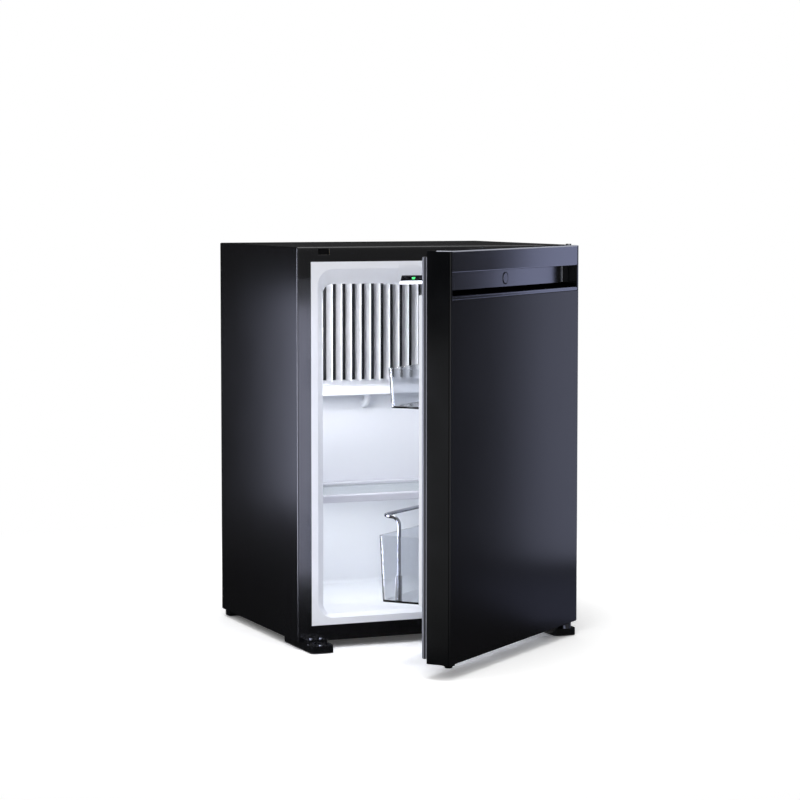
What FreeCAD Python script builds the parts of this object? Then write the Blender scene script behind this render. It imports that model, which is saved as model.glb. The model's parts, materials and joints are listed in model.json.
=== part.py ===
import FreeCAD, Part
import math
import os

# Free-standing absorption minibar fridge with a hinged door.
# Millimetres, +Z up, +X to the hinge side, -Y to the front, floor at zero.

# Overall sizes
cab_w = 402.0
cab_h = 528.0
cab_d = 312.0
foot_h = 10.0
unit_d = 88.0
door_t = 33.0
seal_gap = 11.0
rest_angle = 39.5
over = 2.0
same_place = 0.0001
tiny_share = 0.000001

# Cabinet shell and its front frame
sheet_t = 1.0
edge_round = 1.8
frame_w = 20.0
frame_low = 21.0
slot_w = 16.0
slot_h = 8.0
slot_from_side = 30.5
slot_from_top = 2.6
plug_sink = 1.0
plug_len = 12.0

# Liner: flange, slanted mouth, cavity and shelf ribs
liner_t = 2.0
flange_w = 9.5
flange_low = 9.0
mouth_d = 12.0
mouth_round = 22.0
cav_from_side = 41.0
cav_from_base = 34.0
cav_from_top = 50.0
cav_from_rear = 50.0
cav_round = 14.0
cav_back_round = 6.0
rib_count = 6
rib_from_floor = 139.0
rib_top_gap = 80.0
rib_h = 17.0
rib_in = 7.0
rib_from_front = 30.0
rib_from_back = 24.0
rib_round = 2.5

# Evaporator and drip channel
fin_count = 15
fin_pitch = 14.8
fin_t = 1.4
fin_d = 24.0
fin_plate_t = 3.0
fin_from_top = 7.0
fin_h = 141.0
chill_hw = 60.0
chill_d = 24.0
chill_h = 60.0
chill_rise = 70.0
drip_lip = 3.0
drip_h = 12.0
drip_drop = 8.0
drip_wall = 2.0
drain_r = 5.0
drain_fall = 16.0
drain_bend = 12.0
drain_end_rise = 108.0

# Shelf
shelf_from_front = 94.0
shelf_from_back = 6.0
shelf_side_gap = 2.0
trim_h = 10.0
trim_depth = 15.0
trim_round = 1.5
glass_t = 4.0
glass_bite = 10.0

# Control module in the cavity mouth
mod_hw = 54.5
mod_d = 60.0
mod_slope_d = 14.0
mod_drop = 2.0
mod_wall = 4.0
mod_room_front = 22.0
mod_strip_hw = 47.5
mod_proud = 0.3
display_shares = (0.46, 0.78)
display_d = 2.0
lens_shares = (0.81, 0.97)
lens_d = 3.0
led_shares = (0.56, 0.68)
led_x = -29.5
led_w = 4.0
led_d = 1.2
led_proud = 0.5
button_shares = (0.52, 0.72)
button_x = 25.0
button_w = 9.0
button_proud = 1.4
button_back = 2.6
button_gap = 0.25
button_travel = 1.0
board_hw = 40.0
board_t = 1.6
chip_count = 6
chip_pitch = 12.0
chip_w = 3.0
chip_h = 1.0

# Door
door_in = 5.0
door_lift = 9.0
panel_t = 1.2
panel_round = 1.0
groove_w = 1.2
groove_d = 1.2
door_wall = 2.5
axis_from_side = 14.0
axis_from_face = 9.0

# Handle trim across the top of the door
trim_fall = 62.0
fascia_h = 27.4
recess_h = 29.6
recess_d = 18.0
recess_floor_rise = 6.5
handle_wall = 2.0
cap_t = 5.0
lock_r = 8.3
lock_h = 0.5
lock_fall = 39.5
lock_groove_out_r = 7.9
lock_groove_in_r = 6.9
lock_groove_d = 0.3

# Door seal
seal_in = 5.0
seal_in_top = 8.0
seal_w = 12.0
seal_h = 10.2
seal_foot_h = 2.2
seal_neck_h = 1.8
seal_neck_in = 2.0
seal_round = 3.0

# Door liner walls and bin ledges
wall_in = 44.0
wall_w = 18.0
wall_out = 34.0
wall_rise = 55.0
wall_fall = 48.0
wall_slant = 10.0
ledge_in = 14.0
ledge_d = 7.5
ledge_h = 6.0
ledge_drop = 14.0
ledge_lip_t = 2.5

# Door bins and bottle rail
bin_side_gap = 2.0
bin_wall = 2.4
bin_back = 9.0
bin_round = 6.0
hook_gap = 0.2
hook_tab_from = 1.5
hook_tab_t = 2.4
hook_tab_h = 12.0
hook_in = 6.0
low_bin_rise = 63.0
low_bin_h = 86.0
low_bin_lean = 4.7
low_bin_out_low = 98.6
top_bin_fall = 204.0
top_bin_h = 51.0
top_bin_lean = 4.0
top_bin_out_low = 86.0
rail_r = 2.5
rail_wall_gap = 0.4
rail_leg_out = 75.0
rail_front_out = 99.0
rail_bend_rise = 24.0
rail_front_rise = 26.0
rail_bend = 11.0
socket_r = 4.6
socket_h = 34.0

# Hinges, feet and screws
pin_r = 3.0
pin_run = 0.05
pin_head_r = 3.8
pin_head_h = 2.0
arm_t = 3.0
arm_w = 12.0
arm_eye_r = 7.0
arm_from_top = 3.5
arm_tail = 28.0
arm_slot_gap = 1.0
arm_slot_left = 28.0
arm_eye_gap = 0.6
block_hw = 9.0
bush_r = 6.0
bush_deep = 16.0
bush_gap = 0.2
collar_r = 5.0
pin_seat = 6.0
pin_into_bush = 13.0
spare_flange_r = 8.0
spare_boss_r = 5.0
spare_boss_h = 3.0
spare_step_h = 2.0
foot_w = 33.0
foot_from_side = 5.0
foot_nose = 39.0
foot_back = 72.0
foot_round = 8.0
riser_d = 24.0
riser_h = 6.0
riser_round = 5.0
riser_in = 3.0
rear_foot_d = 16.0
screw_head_r = 2.4
screw_head_h = 1.2
screw_r = 1.3
screw_len = 6.0
riser_screw_y = 15.0
riser_screw_in = 8.0
riser_screw_step = 14.0
nose_screw_in = 14.0
nose_screw_y = 35.0

# Absorption unit behind the cabinet
pipe_r = 8.0
pipe_bend = 20.0
port_gap = 3.0
vessel_r = 26.0
vessel_rise = 65.0
unit_left_in = 61.0
vessel_over = 22.0
boiler_from_box = 20.0
boiler_r = 11.0
boiler_bend = 24.0
case_hw = 40.0
case_hd = 37.0
case_rise = 94.0
case_fall = 150.0
case_wall = 1.0
heater_r = 6.0
heater_gap = 2.0
heater_foot_gap = 16.0
heater_top_gap = 88.0
cond_rise = 70.0
cond_from_boiler = 48.0
cond_fin_count = 12
cond_fin_in = 22.0
cond_fin_end = 48.0
cond_fin_t = 1.0
cond_fin_hh = 24.0
cond_fin_gap = 2.0
tap_share = 0.2727
exchanger_r = 12.0
coil_right = 0.0
coil_start_in = 28.0
coil_rise = 130.0
coil_top_gap = 78.0
coil_bend_share = 0.4
coil_rows = 5
strap_xs = (-84.0, -30.0)
strap_t = 3.0
strap_foot_w = 20.0
strap_rise = 9.0
strap_over = 20.0
case_strap_h = 30.0
case_strap_fall = 80.0
case_strap_hw = 28.0

# Electronics on the back panel
ebox_w = 58.0
ebox_from_side = 13.0
ebox_gap = 16.0
ebox_h = 92.0
ebox_d = 45.0
ebox_wall = 2.5
ebox_round = 4.0
inlet_hw = 13.0
inlet_in = 18.0
inlet_h = 14.0
inlet_d = 20.0
inlet_from_panel = 12.0
inlet_wall = 2.5
blade_count = 3
blade_pitch = 7.0
blade_w = 2.0
blade_t = 4.0
blade_h = 9.0
cable_r = 2.5
cable_bend = 10.0
cable_from_panel = 4.0
heater_cable_in = 10.0
heater_cable_from_panel = 24.0
heater_cable_into = 10.0
mod_cable_in = 31.0
mod_cable_fall = 32.0
mod_cable_turn = 24.0
mod_cable_end_x = 36.0
panel_screw_in = 9.0
panel_screw_rows = 3
panel_screw_r = 3.4
panel_screw_h = 1.6

# Places worked out from the sizes above
half_w = cab_w / 2
total_d = door_t + seal_gap + cab_d + unit_d
door_y = -total_d / 2
door_back_y = door_y + door_t
front_y = door_back_y + seal_gap
back_y = front_y + cab_d
base_z = foot_h
top_z = base_z + cab_h
mouth_hw = half_w - frame_w - flange_w
mouth_lo = base_z + frame_low + flange_low
mouth_hi = top_z - frame_w - flange_w
flange_lo = base_z + frame_low
flange_hi = top_z - frame_w
mouth_y = front_y + mouth_d
cav_hw = half_w - cav_from_side
cav_lo = base_z + cav_from_base
cav_hi = top_z - cav_from_top
cav_y = back_y - cav_from_rear
rib_first = cav_lo + rib_from_floor
rib_pitch = (cav_hi - rib_top_gap - rib_first) / (rib_count - 1)
fin_high = cav_hi - fin_from_top
fin_low = fin_high - fin_h
chill_z = fin_low + chill_rise
drain_end = base_z + drain_end_rise
unit_y = back_y + unit_d / 2
door_hw = half_w - door_in
door_lo = base_z + door_lift
axis_x = door_hw - axis_from_side
axis_y = door_y + axis_from_face
trim_lo = top_z - trim_fall
trim_back_y = door_y + recess_d + handle_wall
lock_z = top_z - lock_fall
wall_lo = door_lo + wall_rise
wall_hi = top_z - wall_fall
bin_hw = door_hw - wall_in - wall_w - bin_side_gap
ledge_hw = bin_hw - ledge_in
hook_hw = ledge_hw - hook_in
low_bin_lo = door_lo + low_bin_rise
low_bin_hi = low_bin_lo + low_bin_h
low_bin_out_top = low_bin_out_low + low_bin_lean
top_bin_lo = top_z - top_bin_fall
top_bin_hi = top_bin_lo + top_bin_h
top_bin_out_top = top_bin_out_low + top_bin_lean
rail_bend_z = low_bin_hi + rail_bend_rise
rail_front_z = low_bin_hi + rail_front_rise
slot_in = half_w - slot_from_side - slot_w
slot_out = half_w - slot_from_side
slot_hi = top_z - slot_from_top
slot_lo = slot_hi - slot_h
arm_hi = top_z - arm_from_top
arm_lo = arm_hi - arm_t
fin_hw = fin_pitch * (fin_count - 1) / 2 + fin_t / 2
mod_lo = cav_hi - mod_drop
vessel_z = base_z + vessel_rise
unit_left = unit_left_in - half_w
cond_z = chill_z + cond_rise
case_lo = base_z + case_rise
case_hi = cond_z - case_fall
heater_lo = case_lo + heater_foot_gap
heater_hi = case_hi - heater_top_gap
coil_first_z = base_z + coil_rise
coil_top = chill_z - coil_top_gap
coil_pitch = (coil_top - coil_first_z) / (coil_rows - 1)
coil_start_x = unit_left + coil_start_in
strap_lo = vessel_z + strap_rise
strap_hi = coil_top + strap_over
case_strap_lo = case_hi - case_strap_fall
ebox_right = half_w - ebox_from_side
ebox_left = ebox_right - ebox_w
boiler_x = ebox_left - boiler_from_box
tap_x = boiler_x * tap_share
vessel_right = tap_x + vessel_over
cond_right = boiler_x - cond_from_boiler
cond_fin_first = cond_right - cond_fin_in
cond_fin_pitch = (cond_fin_first - unit_left - cond_fin_end) / (cond_fin_count - 1)
ebox_lo = case_hi + ebox_gap
ebox_hi = ebox_lo + ebox_h
inlet_x = ebox_right - inlet_in
heater_cable_x = ebox_left + heater_cable_in
mod_cable_x = ebox_left + mod_cable_in
mod_cable_z = top_z - mod_cable_fall

V = FreeCAD.Vector
UP = V(0, 0, 1)
BACK = V(0, 1, 0)
RIGHT = V(1, 0, 0)


def block(x0, x1, y0, y1, z0, z1):
    """Box between two corners."""
    return Part.makeBox(x1 - x0, y1 - y0, z1 - z0, V(x0, y0, z0))


def rod_x(r, x0, x1, y, z):
    """Round bar along X."""
    return Part.makeCylinder(r, x1 - x0, V(x0, y, z), RIGHT)


def rod_y(r, x, y0, y1, z):
    """Round bar along Y."""
    return Part.makeCylinder(r, y1 - y0, V(x, y0, z), BACK)


def rod_z(r, x, y, z0, z1):
    """Round bar along Z."""
    return Part.makeCylinder(r, z1 - z0, V(x, y, z0), UP)


def prism_x(outline, x0, x1):
    """Outline of (y, z) points drawn out along X."""
    points = [V(x0, y, z) for y, z in outline]
    face = Part.Face(Part.makePolygon(points + points[:1]))
    return face.extrude(V(x1 - x0, 0, 0))


def fuse(pieces):
    """One solid from pieces that meet."""
    return pieces[0].multiFuse(pieces[1:]).removeSplitter()


def cut(shape, tools):
    """Shape with every tool taken out of it."""
    for tool in tools:
        shape = shape.cut(tool)
    return shape


def along(edge, axis):
    """True for a straight edge that runs along the axis."""
    if edge.Curve.TypeId != "Part::GeomLine":
        return False
    return abs(abs(edge.Curve.Direction.dot(axis)) - 1) < tiny_share


def near(value, target):
    """True where two places are the same."""
    return abs(value - target) < same_place


def soften(shape, r, chosen):
    """Round the edges that the test chooses."""
    return shape.makeFillet(r, [edge for edge in shape.Edges if chosen(edge)])


def mid(edge):
    """Centre of an edge."""
    return edge.CenterOfMass


def round_wire(y, hw, z0, z1, r):
    """Rectangle with round corners, upright across the depth."""
    d = r * (1 - math.sqrt(0.5))
    p = [V(-hw + r, y, z0), V(hw - r, y, z0), V(hw, y, z0 + r), V(hw, y, z1 - r)]
    p += [V(hw - r, y, z1), V(-hw + r, y, z1), V(-hw, y, z1 - r), V(-hw, y, z0 + r)]
    m = [V(hw - d, y, z0 + d), V(hw - d, y, z1 - d), V(-hw + d, y, z1 - d), V(-hw + d, y, z0 + d)]
    edges = []
    for i in range(4):
        start, stop, after = p[2 * i], p[2 * i + 1], p[(2 * i + 2) % 8]
        edges.append(Part.makeLine(start, stop))
        edges.append(Part.Arc(stop, m[i], after).toShape())
    return Part.Wire(edges)


def pipe(points, r, bend):
    """Round pipe along straight runs joined by bends."""
    points = [V(*point) for point in points]
    edges = []
    start = points[0]
    for before, here, after in zip(points, points[1:], points[2:]):
        u = (before - here).normalize()
        w = (after - here).normalize()
        half = u.getAngle(w) / 2
        reach = bend / math.tan(half)
        a = here + u * reach
        b = here + w * reach
        centre = here + (u + w).normalize() * (bend / math.sin(half))
        m = centre + (here - centre).normalize() * bend
        if start.distanceToPoint(a) > same_place:
            edges.append(Part.makeLine(start, a))
        edges.append(Part.Arc(a, m, b).toShape())
        start = b
    edges.append(Part.makeLine(start, points[-1]))
    spine = Part.Wire(edges)
    ring = Part.Wire([Part.makeCircle(r, points[0], points[1] - points[0])])
    return spine.makePipeShell([ring], True, False)


def swing(shape):
    """Turn a piece of the closed door to its open rest place."""
    shape.rotate(V(axis_x, axis_y, 0), UP, rest_angle)
    return shape


def save(node, shape):
    """Write one node."""
    shape.exportStep("parts/" + node + ".step")


# Cabinet


def hinge_slots():
    """Both slots for a hinge arm in the front frame."""
    depth = (front_y - over, front_y + sheet_t + over)
    left = block(-slot_out, -slot_in, *depth, slot_lo, slot_hi)
    right = block(slot_in, slot_out, *depth, slot_lo, slot_hi)
    return [left, right]


def cabinet_shell():
    """Wrapped sheet: top, sides and the front frame folded inwards."""
    outer = block(-half_w, half_w, front_y, back_y, base_z, top_z)

    def outer_corner(edge):
        at_top = near(mid(edge).z, top_z) and not near(mid(edge).y, back_y)
        at_front = along(edge, UP) and near(mid(edge).y, front_y)
        return at_top or at_front

    outer = soften(outer, edge_round, outer_corner)
    hw = half_w - sheet_t
    inside = block(-hw, hw, front_y + sheet_t, back_y + over, base_z - over, top_z - sheet_t)
    fw = half_w - frame_w
    mouth = block(-fw, fw, front_y - over, front_y + sheet_t + over, base_z - over, flange_hi)
    return cut(outer, [inside, mouth] + hinge_slots())


def base_pan():
    """Bottom sheet with the lower strip of the front frame."""
    hw = half_w - sheet_t
    fw = half_w - frame_w
    floor = block(-hw, hw, front_y + sheet_t, back_y, base_z, base_z + sheet_t)
    strip = block(-fw, fw, front_y, front_y + sheet_t, base_z, flange_lo)
    return fuse([floor, strip])


def mouth_form(grow):
    """Slanted mouth between the flange and the cavity."""
    hw, lo, hi = mouth_hw + grow, mouth_lo - grow, mouth_hi + grow
    front = round_wire(front_y, hw, lo, hi, mouth_round + grow)
    hw, lo, hi = cav_hw + grow, cav_lo - grow, cav_hi + grow
    back = round_wire(mouth_y, hw, lo, hi, cav_round + grow)
    return Part.makeLoft([front, back], True, True)


def cavity_form(grow):
    """Cooled room behind the mouth."""
    hw, lo, hi = cav_hw + grow, cav_lo - grow, cav_hi + grow
    wire = round_wire(mouth_y, hw, lo, hi, cav_round + grow)
    room = Part.Face(wire).extrude(V(0, cav_y + grow - mouth_y, 0))

    def at_back(edge):
        return all(near(v.Point.y, cav_y + grow) for v in edge.Vertexes)

    return soften(room, cav_back_round + grow, at_back)


def liner_body():
    """Outside of the liner with its hollow filled."""
    fw = half_w - frame_w
    flange = block(-fw, fw, front_y, front_y + liner_t, flange_lo, flange_hi)
    return fuse([flange, mouth_form(liner_t), cavity_form(liner_t)])


def shelf_rib(side, top):
    """One rib on a side wall; side is -1 or 1."""
    y0, y1 = front_y + rib_from_front, cav_y - rib_from_back
    inner = side * (cav_hw - rib_in)
    outer = side * (cav_hw + liner_t / 2)
    rib = block(min(inner, outer), max(inner, outer), y0, y1, top - rib_h, top)

    def on_inner_face(edge):
        return all(near(v.Point.x, inner) for v in edge.Vertexes)

    return soften(rib, rib_round, on_inner_face)


def chill_block():
    """Space of the cold block behind the fins."""
    z0, z1 = chill_z - chill_h / 2, chill_z + chill_h / 2
    return block(-chill_hw, chill_hw, cav_y, cav_y + chill_d, z0, z1)


def chill_pipe():
    """Cold pipe: in through the back wall, along the block and out again."""
    y = cav_y + chill_d / 2
    out = back_y + port_gap
    points = [(-tap_x, out, chill_z), (-tap_x, y, chill_z), (tap_x, y, chill_z), (tap_x, out, chill_z)]
    return pipe(points, pipe_r, pipe_bend)


def module_space():
    """Room that the control module takes in the mouth."""
    return block(-mod_hw, mod_hw, front_y - over, front_y + mod_d, mod_lo, flange_hi)


def inner_liner():
    """White moulded liner."""
    shell = cut(liner_body(), [mouth_form(0), cavity_form(0)])
    tops = [rib_first + i * rib_pitch for i in range(rib_count)]
    ribs = [shelf_rib(side, top) for top in tops for side in (-1, 1)]
    shell = fuse([shell] + ribs)
    return cut(shell, [chill_block(), module_space(), drain_pipe()])


def cabinet_foam():
    """Foam between shell, pan, back panel and liner."""
    hw = half_w - sheet_t
    z0, z1 = base_z + sheet_t, top_z - sheet_t
    body = block(-hw, hw, front_y + sheet_t, back_y - sheet_t, z0, z1)
    tools = [liner_body(), module_space(), chill_block(), chill_pipe(), drain_pipe()]
    tools += [module_cable(), arm_room(), slot_plug()]
    return cut(body, tools + panel_screws())


def back_panel():
    """Sheet that closes the back of the foam."""
    hw = half_w - sheet_t
    panel = block(-hw, hw, back_y - sheet_t, back_y, base_z + sheet_t, top_z - sheet_t)
    return cut(panel, [chill_pipe(), drain_pipe(), module_cable()] + panel_screws())


def panel_screws():
    """Pan-head screws round the edge of the back panel."""
    screws = []
    z0, z1 = base_z + panel_screw_in, top_z - panel_screw_in
    step = (z1 - z0) / (panel_screw_rows - 1)
    for side in (-1, 1):
        for i in range(panel_screw_rows):
            x, z = side * (half_w - panel_screw_in), z0 + i * step
            head = rod_y(panel_screw_r, x, back_y, back_y + panel_screw_h, z)
            shank = rod_y(screw_r, x, back_y - screw_len, back_y, z)
            screws.append(fuse([head, shank]))
    return screws


def slot_plug():
    """Blank plug in the hinge slot of the free side."""
    return block(-slot_out, -slot_in, front_y + plug_sink, front_y + plug_len, slot_lo, slot_hi)


# Evaporator, drip channel and drain


def evaporator_fins():
    """Finned plate on the back wall of the cavity."""
    plate_y = cav_y - fin_plate_t
    pieces = [block(-fin_hw, fin_hw, plate_y, cav_y, fin_low, fin_high)]
    for i in range(fin_count):
        x = fin_pitch * (i - (fin_count - 1) / 2)
        x0, x1 = x - fin_t / 2, x + fin_t / 2
        pieces.append(block(x0, x1, plate_y - fin_d, plate_y, fin_low, fin_high))
    return fuse(pieces)


def drip_channel():
    """Trough that catches water below the fins."""
    y0 = cav_y - fin_plate_t - fin_d - drip_lip
    z1 = fin_low - drip_drop
    hw = fin_hw + drip_lip
    trough = block(-hw, hw, y0, cav_y, z1 - drip_h, z1)
    w = drip_wall
    room = block(-hw + w, hw - w, y0 + w, cav_y - w, z1 - drip_h + w, z1 + over)
    return cut(trough, [room, drain_pipe()])


def drain_pipe():
    """Drain from the trough through the back wall and down behind it."""
    y0 = cav_y - (fin_plate_t + fin_d) / 2
    y1 = back_y + drain_r + port_gap
    z0 = fin_low - drip_drop - drip_h + drip_wall
    z1 = z0 - drip_wall - drain_fall
    return pipe([(0, y0, z0), (0, y0, z1), (0, y1, z1), (0, y1, drain_end)], drain_r, drain_bend)


# Shelf


def shelf_places():
    """Front, back and half width of the shelf."""
    return front_y + shelf_from_front, cav_y - shelf_from_back, cav_hw - shelf_side_gap


def shelf_glass():
    """Glass plate held in the two trims."""
    y0, y1, hw = shelf_places()
    gap = trim_depth - glass_bite
    z0 = rib_first + (trim_h - glass_t) / 2
    return block(-hw, hw, y0 + gap, y1 - gap, z0, z0 + glass_t)


def shelf_trim(y0, y1):
    """Grooved rail on one edge of the glass."""
    hw = shelf_places()[2]
    rail = block(-hw, hw, y0, y1, rib_first, rib_first + trim_h)
    rail = soften(rail, trim_round, lambda edge: along(edge, RIGHT))
    return cut(rail, [shelf_glass()])


# Control module


def slope_points():
    """Top and foot of the slanted face of the control module."""
    return V(0, front_y, mouth_hi), V(0, front_y + mod_slope_d, mod_lo)


def slope_normal():
    """Direction into the control module, square to its slanted face."""
    top, foot = slope_points()
    return (foot - top).cross(RIGHT).normalize() * -1


def slope_strip(shares, x0, x1, proud, deep):
    """Bar let into the slanted face between two shares of its height."""
    top, foot = slope_points()
    n = slope_normal()
    a = top + (foot - top) * shares[0]
    b = top + (foot - top) * shares[1]
    corners = [a - n * proud, b - n * proud, b + n * deep, a + n * deep]
    return prism_x([(p.y, p.z) for p in corners], x0, x1)


def display_form():
    """Black strip in the slanted face."""
    return slope_strip(display_shares, -mod_strip_hw, mod_strip_hw, mod_proud, display_d)


def lens_form():
    """Lamp lens along the foot of the slanted face."""
    return slope_strip(lens_shares, -mod_strip_hw, mod_strip_hw, mod_proud, lens_d)


def led_form():
    """Small lamp in the black strip."""
    return slope_strip(led_shares, led_x - led_w / 2, led_x + led_w / 2, led_proud, led_d)


def button_form(gap, deep):
    """Set button, or its hole when a gap is given."""
    top, foot = slope_points()
    rim = gap / (foot - top).Length
    shares = (button_shares[0] - rim, button_shares[1] + rim)
    hw = button_w / 2 + gap
    return slope_strip(shares, button_x - hw, button_x + hw, button_proud, deep)


def control_housing():
    """White housing with rooms for the board, strip, lens and button."""
    y0, y1 = front_y, front_y + mod_d
    outline = [(y0, flange_hi), (y0, mouth_hi), (y0 + mod_slope_d, mod_lo), (y1, mod_lo), (y1, flange_hi)]
    body = prism_x(outline, -mod_hw, mod_hw)
    hw = mod_hw - mod_wall
    room = block(-hw, hw, y0 + mod_room_front, y1 - mod_wall, mod_lo + mod_wall, flange_hi - mod_wall)
    hole = button_form(button_gap, button_back + button_travel + button_gap)
    return cut(body, [room, display_form(), lens_form(), hole, module_cable()])


def display_strip():
    """Black strip with openings for the lamp and the button."""
    return cut(display_form(), [led_form(), button_form(button_gap, button_back + over)])


def control_board():
    """Circuit board with its row of lamp chips."""
    y0, y1 = front_y + mod_room_front, front_y + mod_d - mod_wall
    z0 = mod_lo + mod_wall
    pieces = [block(-board_hw, board_hw, y0, y1, z0, z0 + board_t)]
    y = (y0 + y1) / 2
    for i in range(chip_count):
        x = chip_pitch * (i - (chip_count - 1) / 2)
        z = z0 + board_t
        hw = chip_w / 2
        pieces.append(block(x - hw, x + hw, y - hw, y + hw, z, z + chip_h))
    return fuse(pieces)


# Door


def door_panel():
    """Front sheet of the door below the handle trim."""
    sheet = block(-door_hw, door_hw, door_y, door_y + panel_t, door_lo, trim_lo)

    def front_rim(edge):
        return near(mid(edge).y, door_y) and not near(mid(edge).z, trim_lo)

    return soften(sheet, panel_round, front_rim)


def trim_space():
    """Room that the handle trim takes out of the door."""
    return block(-door_hw - over, door_hw + over, door_y - over, trim_back_y, trim_lo, top_z + over)


def arm_space():
    """Slot in the door's top corner that the hinge arm swings in."""
    y0 = axis_y - arm_eye_r - arm_eye_gap
    z0, z1 = arm_lo - arm_slot_gap, arm_hi + arm_slot_gap
    return block(axis_x - arm_slot_left, door_hw + over, y0, door_back_y + over, z0, z1)


def door_frame():
    """Side frame of the door with a shadow groove behind the front sheet."""
    y0, y1 = door_y + panel_t, door_back_y
    ring = block(-door_hw, door_hw, y0, y1, door_lo, top_z)
    hw = door_hw - door_wall
    inside = block(-hw, hw, y0 - over, y1 + over, door_lo + door_wall, top_z - door_wall)
    band = block(-door_hw, door_hw, y0, y0 + groove_w, door_lo, top_z)
    hw = door_hw - groove_d
    core = block(-hw, hw, y0 - over, y0 + groove_w + over, door_lo + groove_d, top_z - groove_d)
    tools = [inside, band.cut(core), trim_space(), arm_space()]
    return cut(ring, tools + bush_forms())


def bush_forms():
    """Both bushes in the door's lower edge, hinge side first."""
    z0, z1 = door_lo - over, door_lo + bush_deep
    return [rod_z(bush_r, side * axis_x, axis_y, z0, z1) for side in (1, -1)]


def door_foam():
    """Foam core of the door."""
    hw = door_hw - door_wall
    z0, z1 = door_lo + door_wall, top_z - door_wall
    core = block(-hw, hw, door_y + panel_t, door_back_y - liner_t, z0, z1)
    return cut(core, [trim_space(), arm_space()] + bush_forms())


def door_ledge(bin_hi):
    """Ledge with an upright lip that a bin hangs on."""
    z0 = bin_hi - ledge_drop - ledge_h
    y1 = door_back_y + ledge_d
    shelf = block(-ledge_hw, ledge_hw, door_back_y, y1, z0, z0 + ledge_h)
    lip = block(-ledge_hw, ledge_hw, y1 - ledge_lip_t, y1, z0, bin_hi - bin_wall - hook_gap)
    return [shelf, lip]


def door_liner():
    """White back of the door with two upright walls and the bin ledges."""
    hw = door_hw - door_wall
    z0, z1 = door_lo + door_wall, top_z - door_wall
    pieces = [block(-hw, hw, door_back_y - liner_t, door_back_y, z0, z1)]
    out = door_back_y + wall_out
    outline = [(door_back_y, wall_lo), (out, wall_lo + wall_slant)]
    outline += [(out, wall_hi - wall_slant), (door_back_y, wall_hi)]
    for side in (-1, 1):
        x0, x1 = sorted([side * (door_hw - wall_in), side * (door_hw - wall_in - wall_w)])
        pieces.append(prism_x(outline, x0, x1))
    pieces += door_ledge(low_bin_hi) + door_ledge(top_bin_hi)
    return cut(fuse(pieces), [arm_space()])


def seal_ring(inset, w, y0, y1):
    """Rectangular frame round the back of the door."""
    hw = door_hw - seal_in - inset
    z0, z1 = door_lo + seal_in + inset, top_z - seal_in_top - inset
    outer = block(-hw, hw, y0, y1, z0, z1)
    return outer.cut(block(-hw + w, hw - w, y0 - over, y1 + over, z0 + w, z1 - w))


def door_gasket():
    """Sealing profile: foot, neck and rounded head."""
    y0 = door_back_y
    y1, y2, y3 = y0 + seal_foot_h, y0 + seal_foot_h + seal_neck_h, y0 + seal_h
    foot = seal_ring(0, seal_w, y0, y1)
    neck = seal_ring(seal_neck_in, seal_w - 2 * seal_neck_in, y1, y2)
    head = seal_ring(0, seal_w, y2, y3)
    hw = door_hw - seal_in
    z0, z1 = door_lo + seal_in, top_z - seal_in_top

    def outer_rim(edge):
        p = mid(edge)
        at_side = near(abs(p.x), hw) or near(p.z, z0) or near(p.z, z1)
        return near(p.y, y3) and at_side

    return fuse([foot, neck, soften(head, seal_round, outer_rim)])


def handle_trim():
    """Profile with the fascia and the finger recess."""
    recess_hi = top_z - fascia_h
    recess_lo = recess_hi - recess_h
    back = door_y + recess_d
    body = block(-door_hw + cap_t, door_hw - cap_t, door_y, trim_back_y, trim_lo, top_z)
    recess = [(door_y - over, recess_lo), (door_y, recess_lo), (back, recess_lo + recess_floor_rise)]
    recess += [(back, recess_hi), (door_y - over, recess_hi)]
    room = prism_x(recess, -door_hw, door_hw)
    w = handle_wall
    hollow = block(-door_hw, door_hw, door_y + w, back, recess_hi + w, top_z - w)
    hole = rod_z(pin_r, axis_x, axis_y, top_z - w - over, top_z + over)
    return cut(body, [room, hollow, arm_space(), hole])


def handle_caps():
    """End caps of the handle trim."""
    caps = []
    for side in (-1, 1):
        outer = side * door_hw
        x0, x1 = sorted([outer - side * cap_t, outer])
        cap = block(x0, x1, door_y, trim_back_y, trim_lo, top_z)

        def outer_front(edge):
            p = mid(edge)
            return along(edge, UP) and near(p.x, outer) and near(p.y, door_y)

        caps.append(soften(cap, panel_round, outer_front).cut(arm_space()))
    return Part.makeCompound(caps)


def lock_plug():
    """Round blank where a lock can be fitted."""
    y1 = door_y + recess_d
    y0 = y1 - lock_h
    disc = rod_y(lock_r, 0, y0, y1, lock_z)
    ring = rod_y(lock_groove_out_r, 0, y0 - over, y0 + lock_groove_d, lock_z)
    core = rod_y(lock_groove_in_r, 0, y0 - over, y0 + lock_groove_d, lock_z)
    return disc.cut(ring.cut(core))


# Door bins and rail


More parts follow.
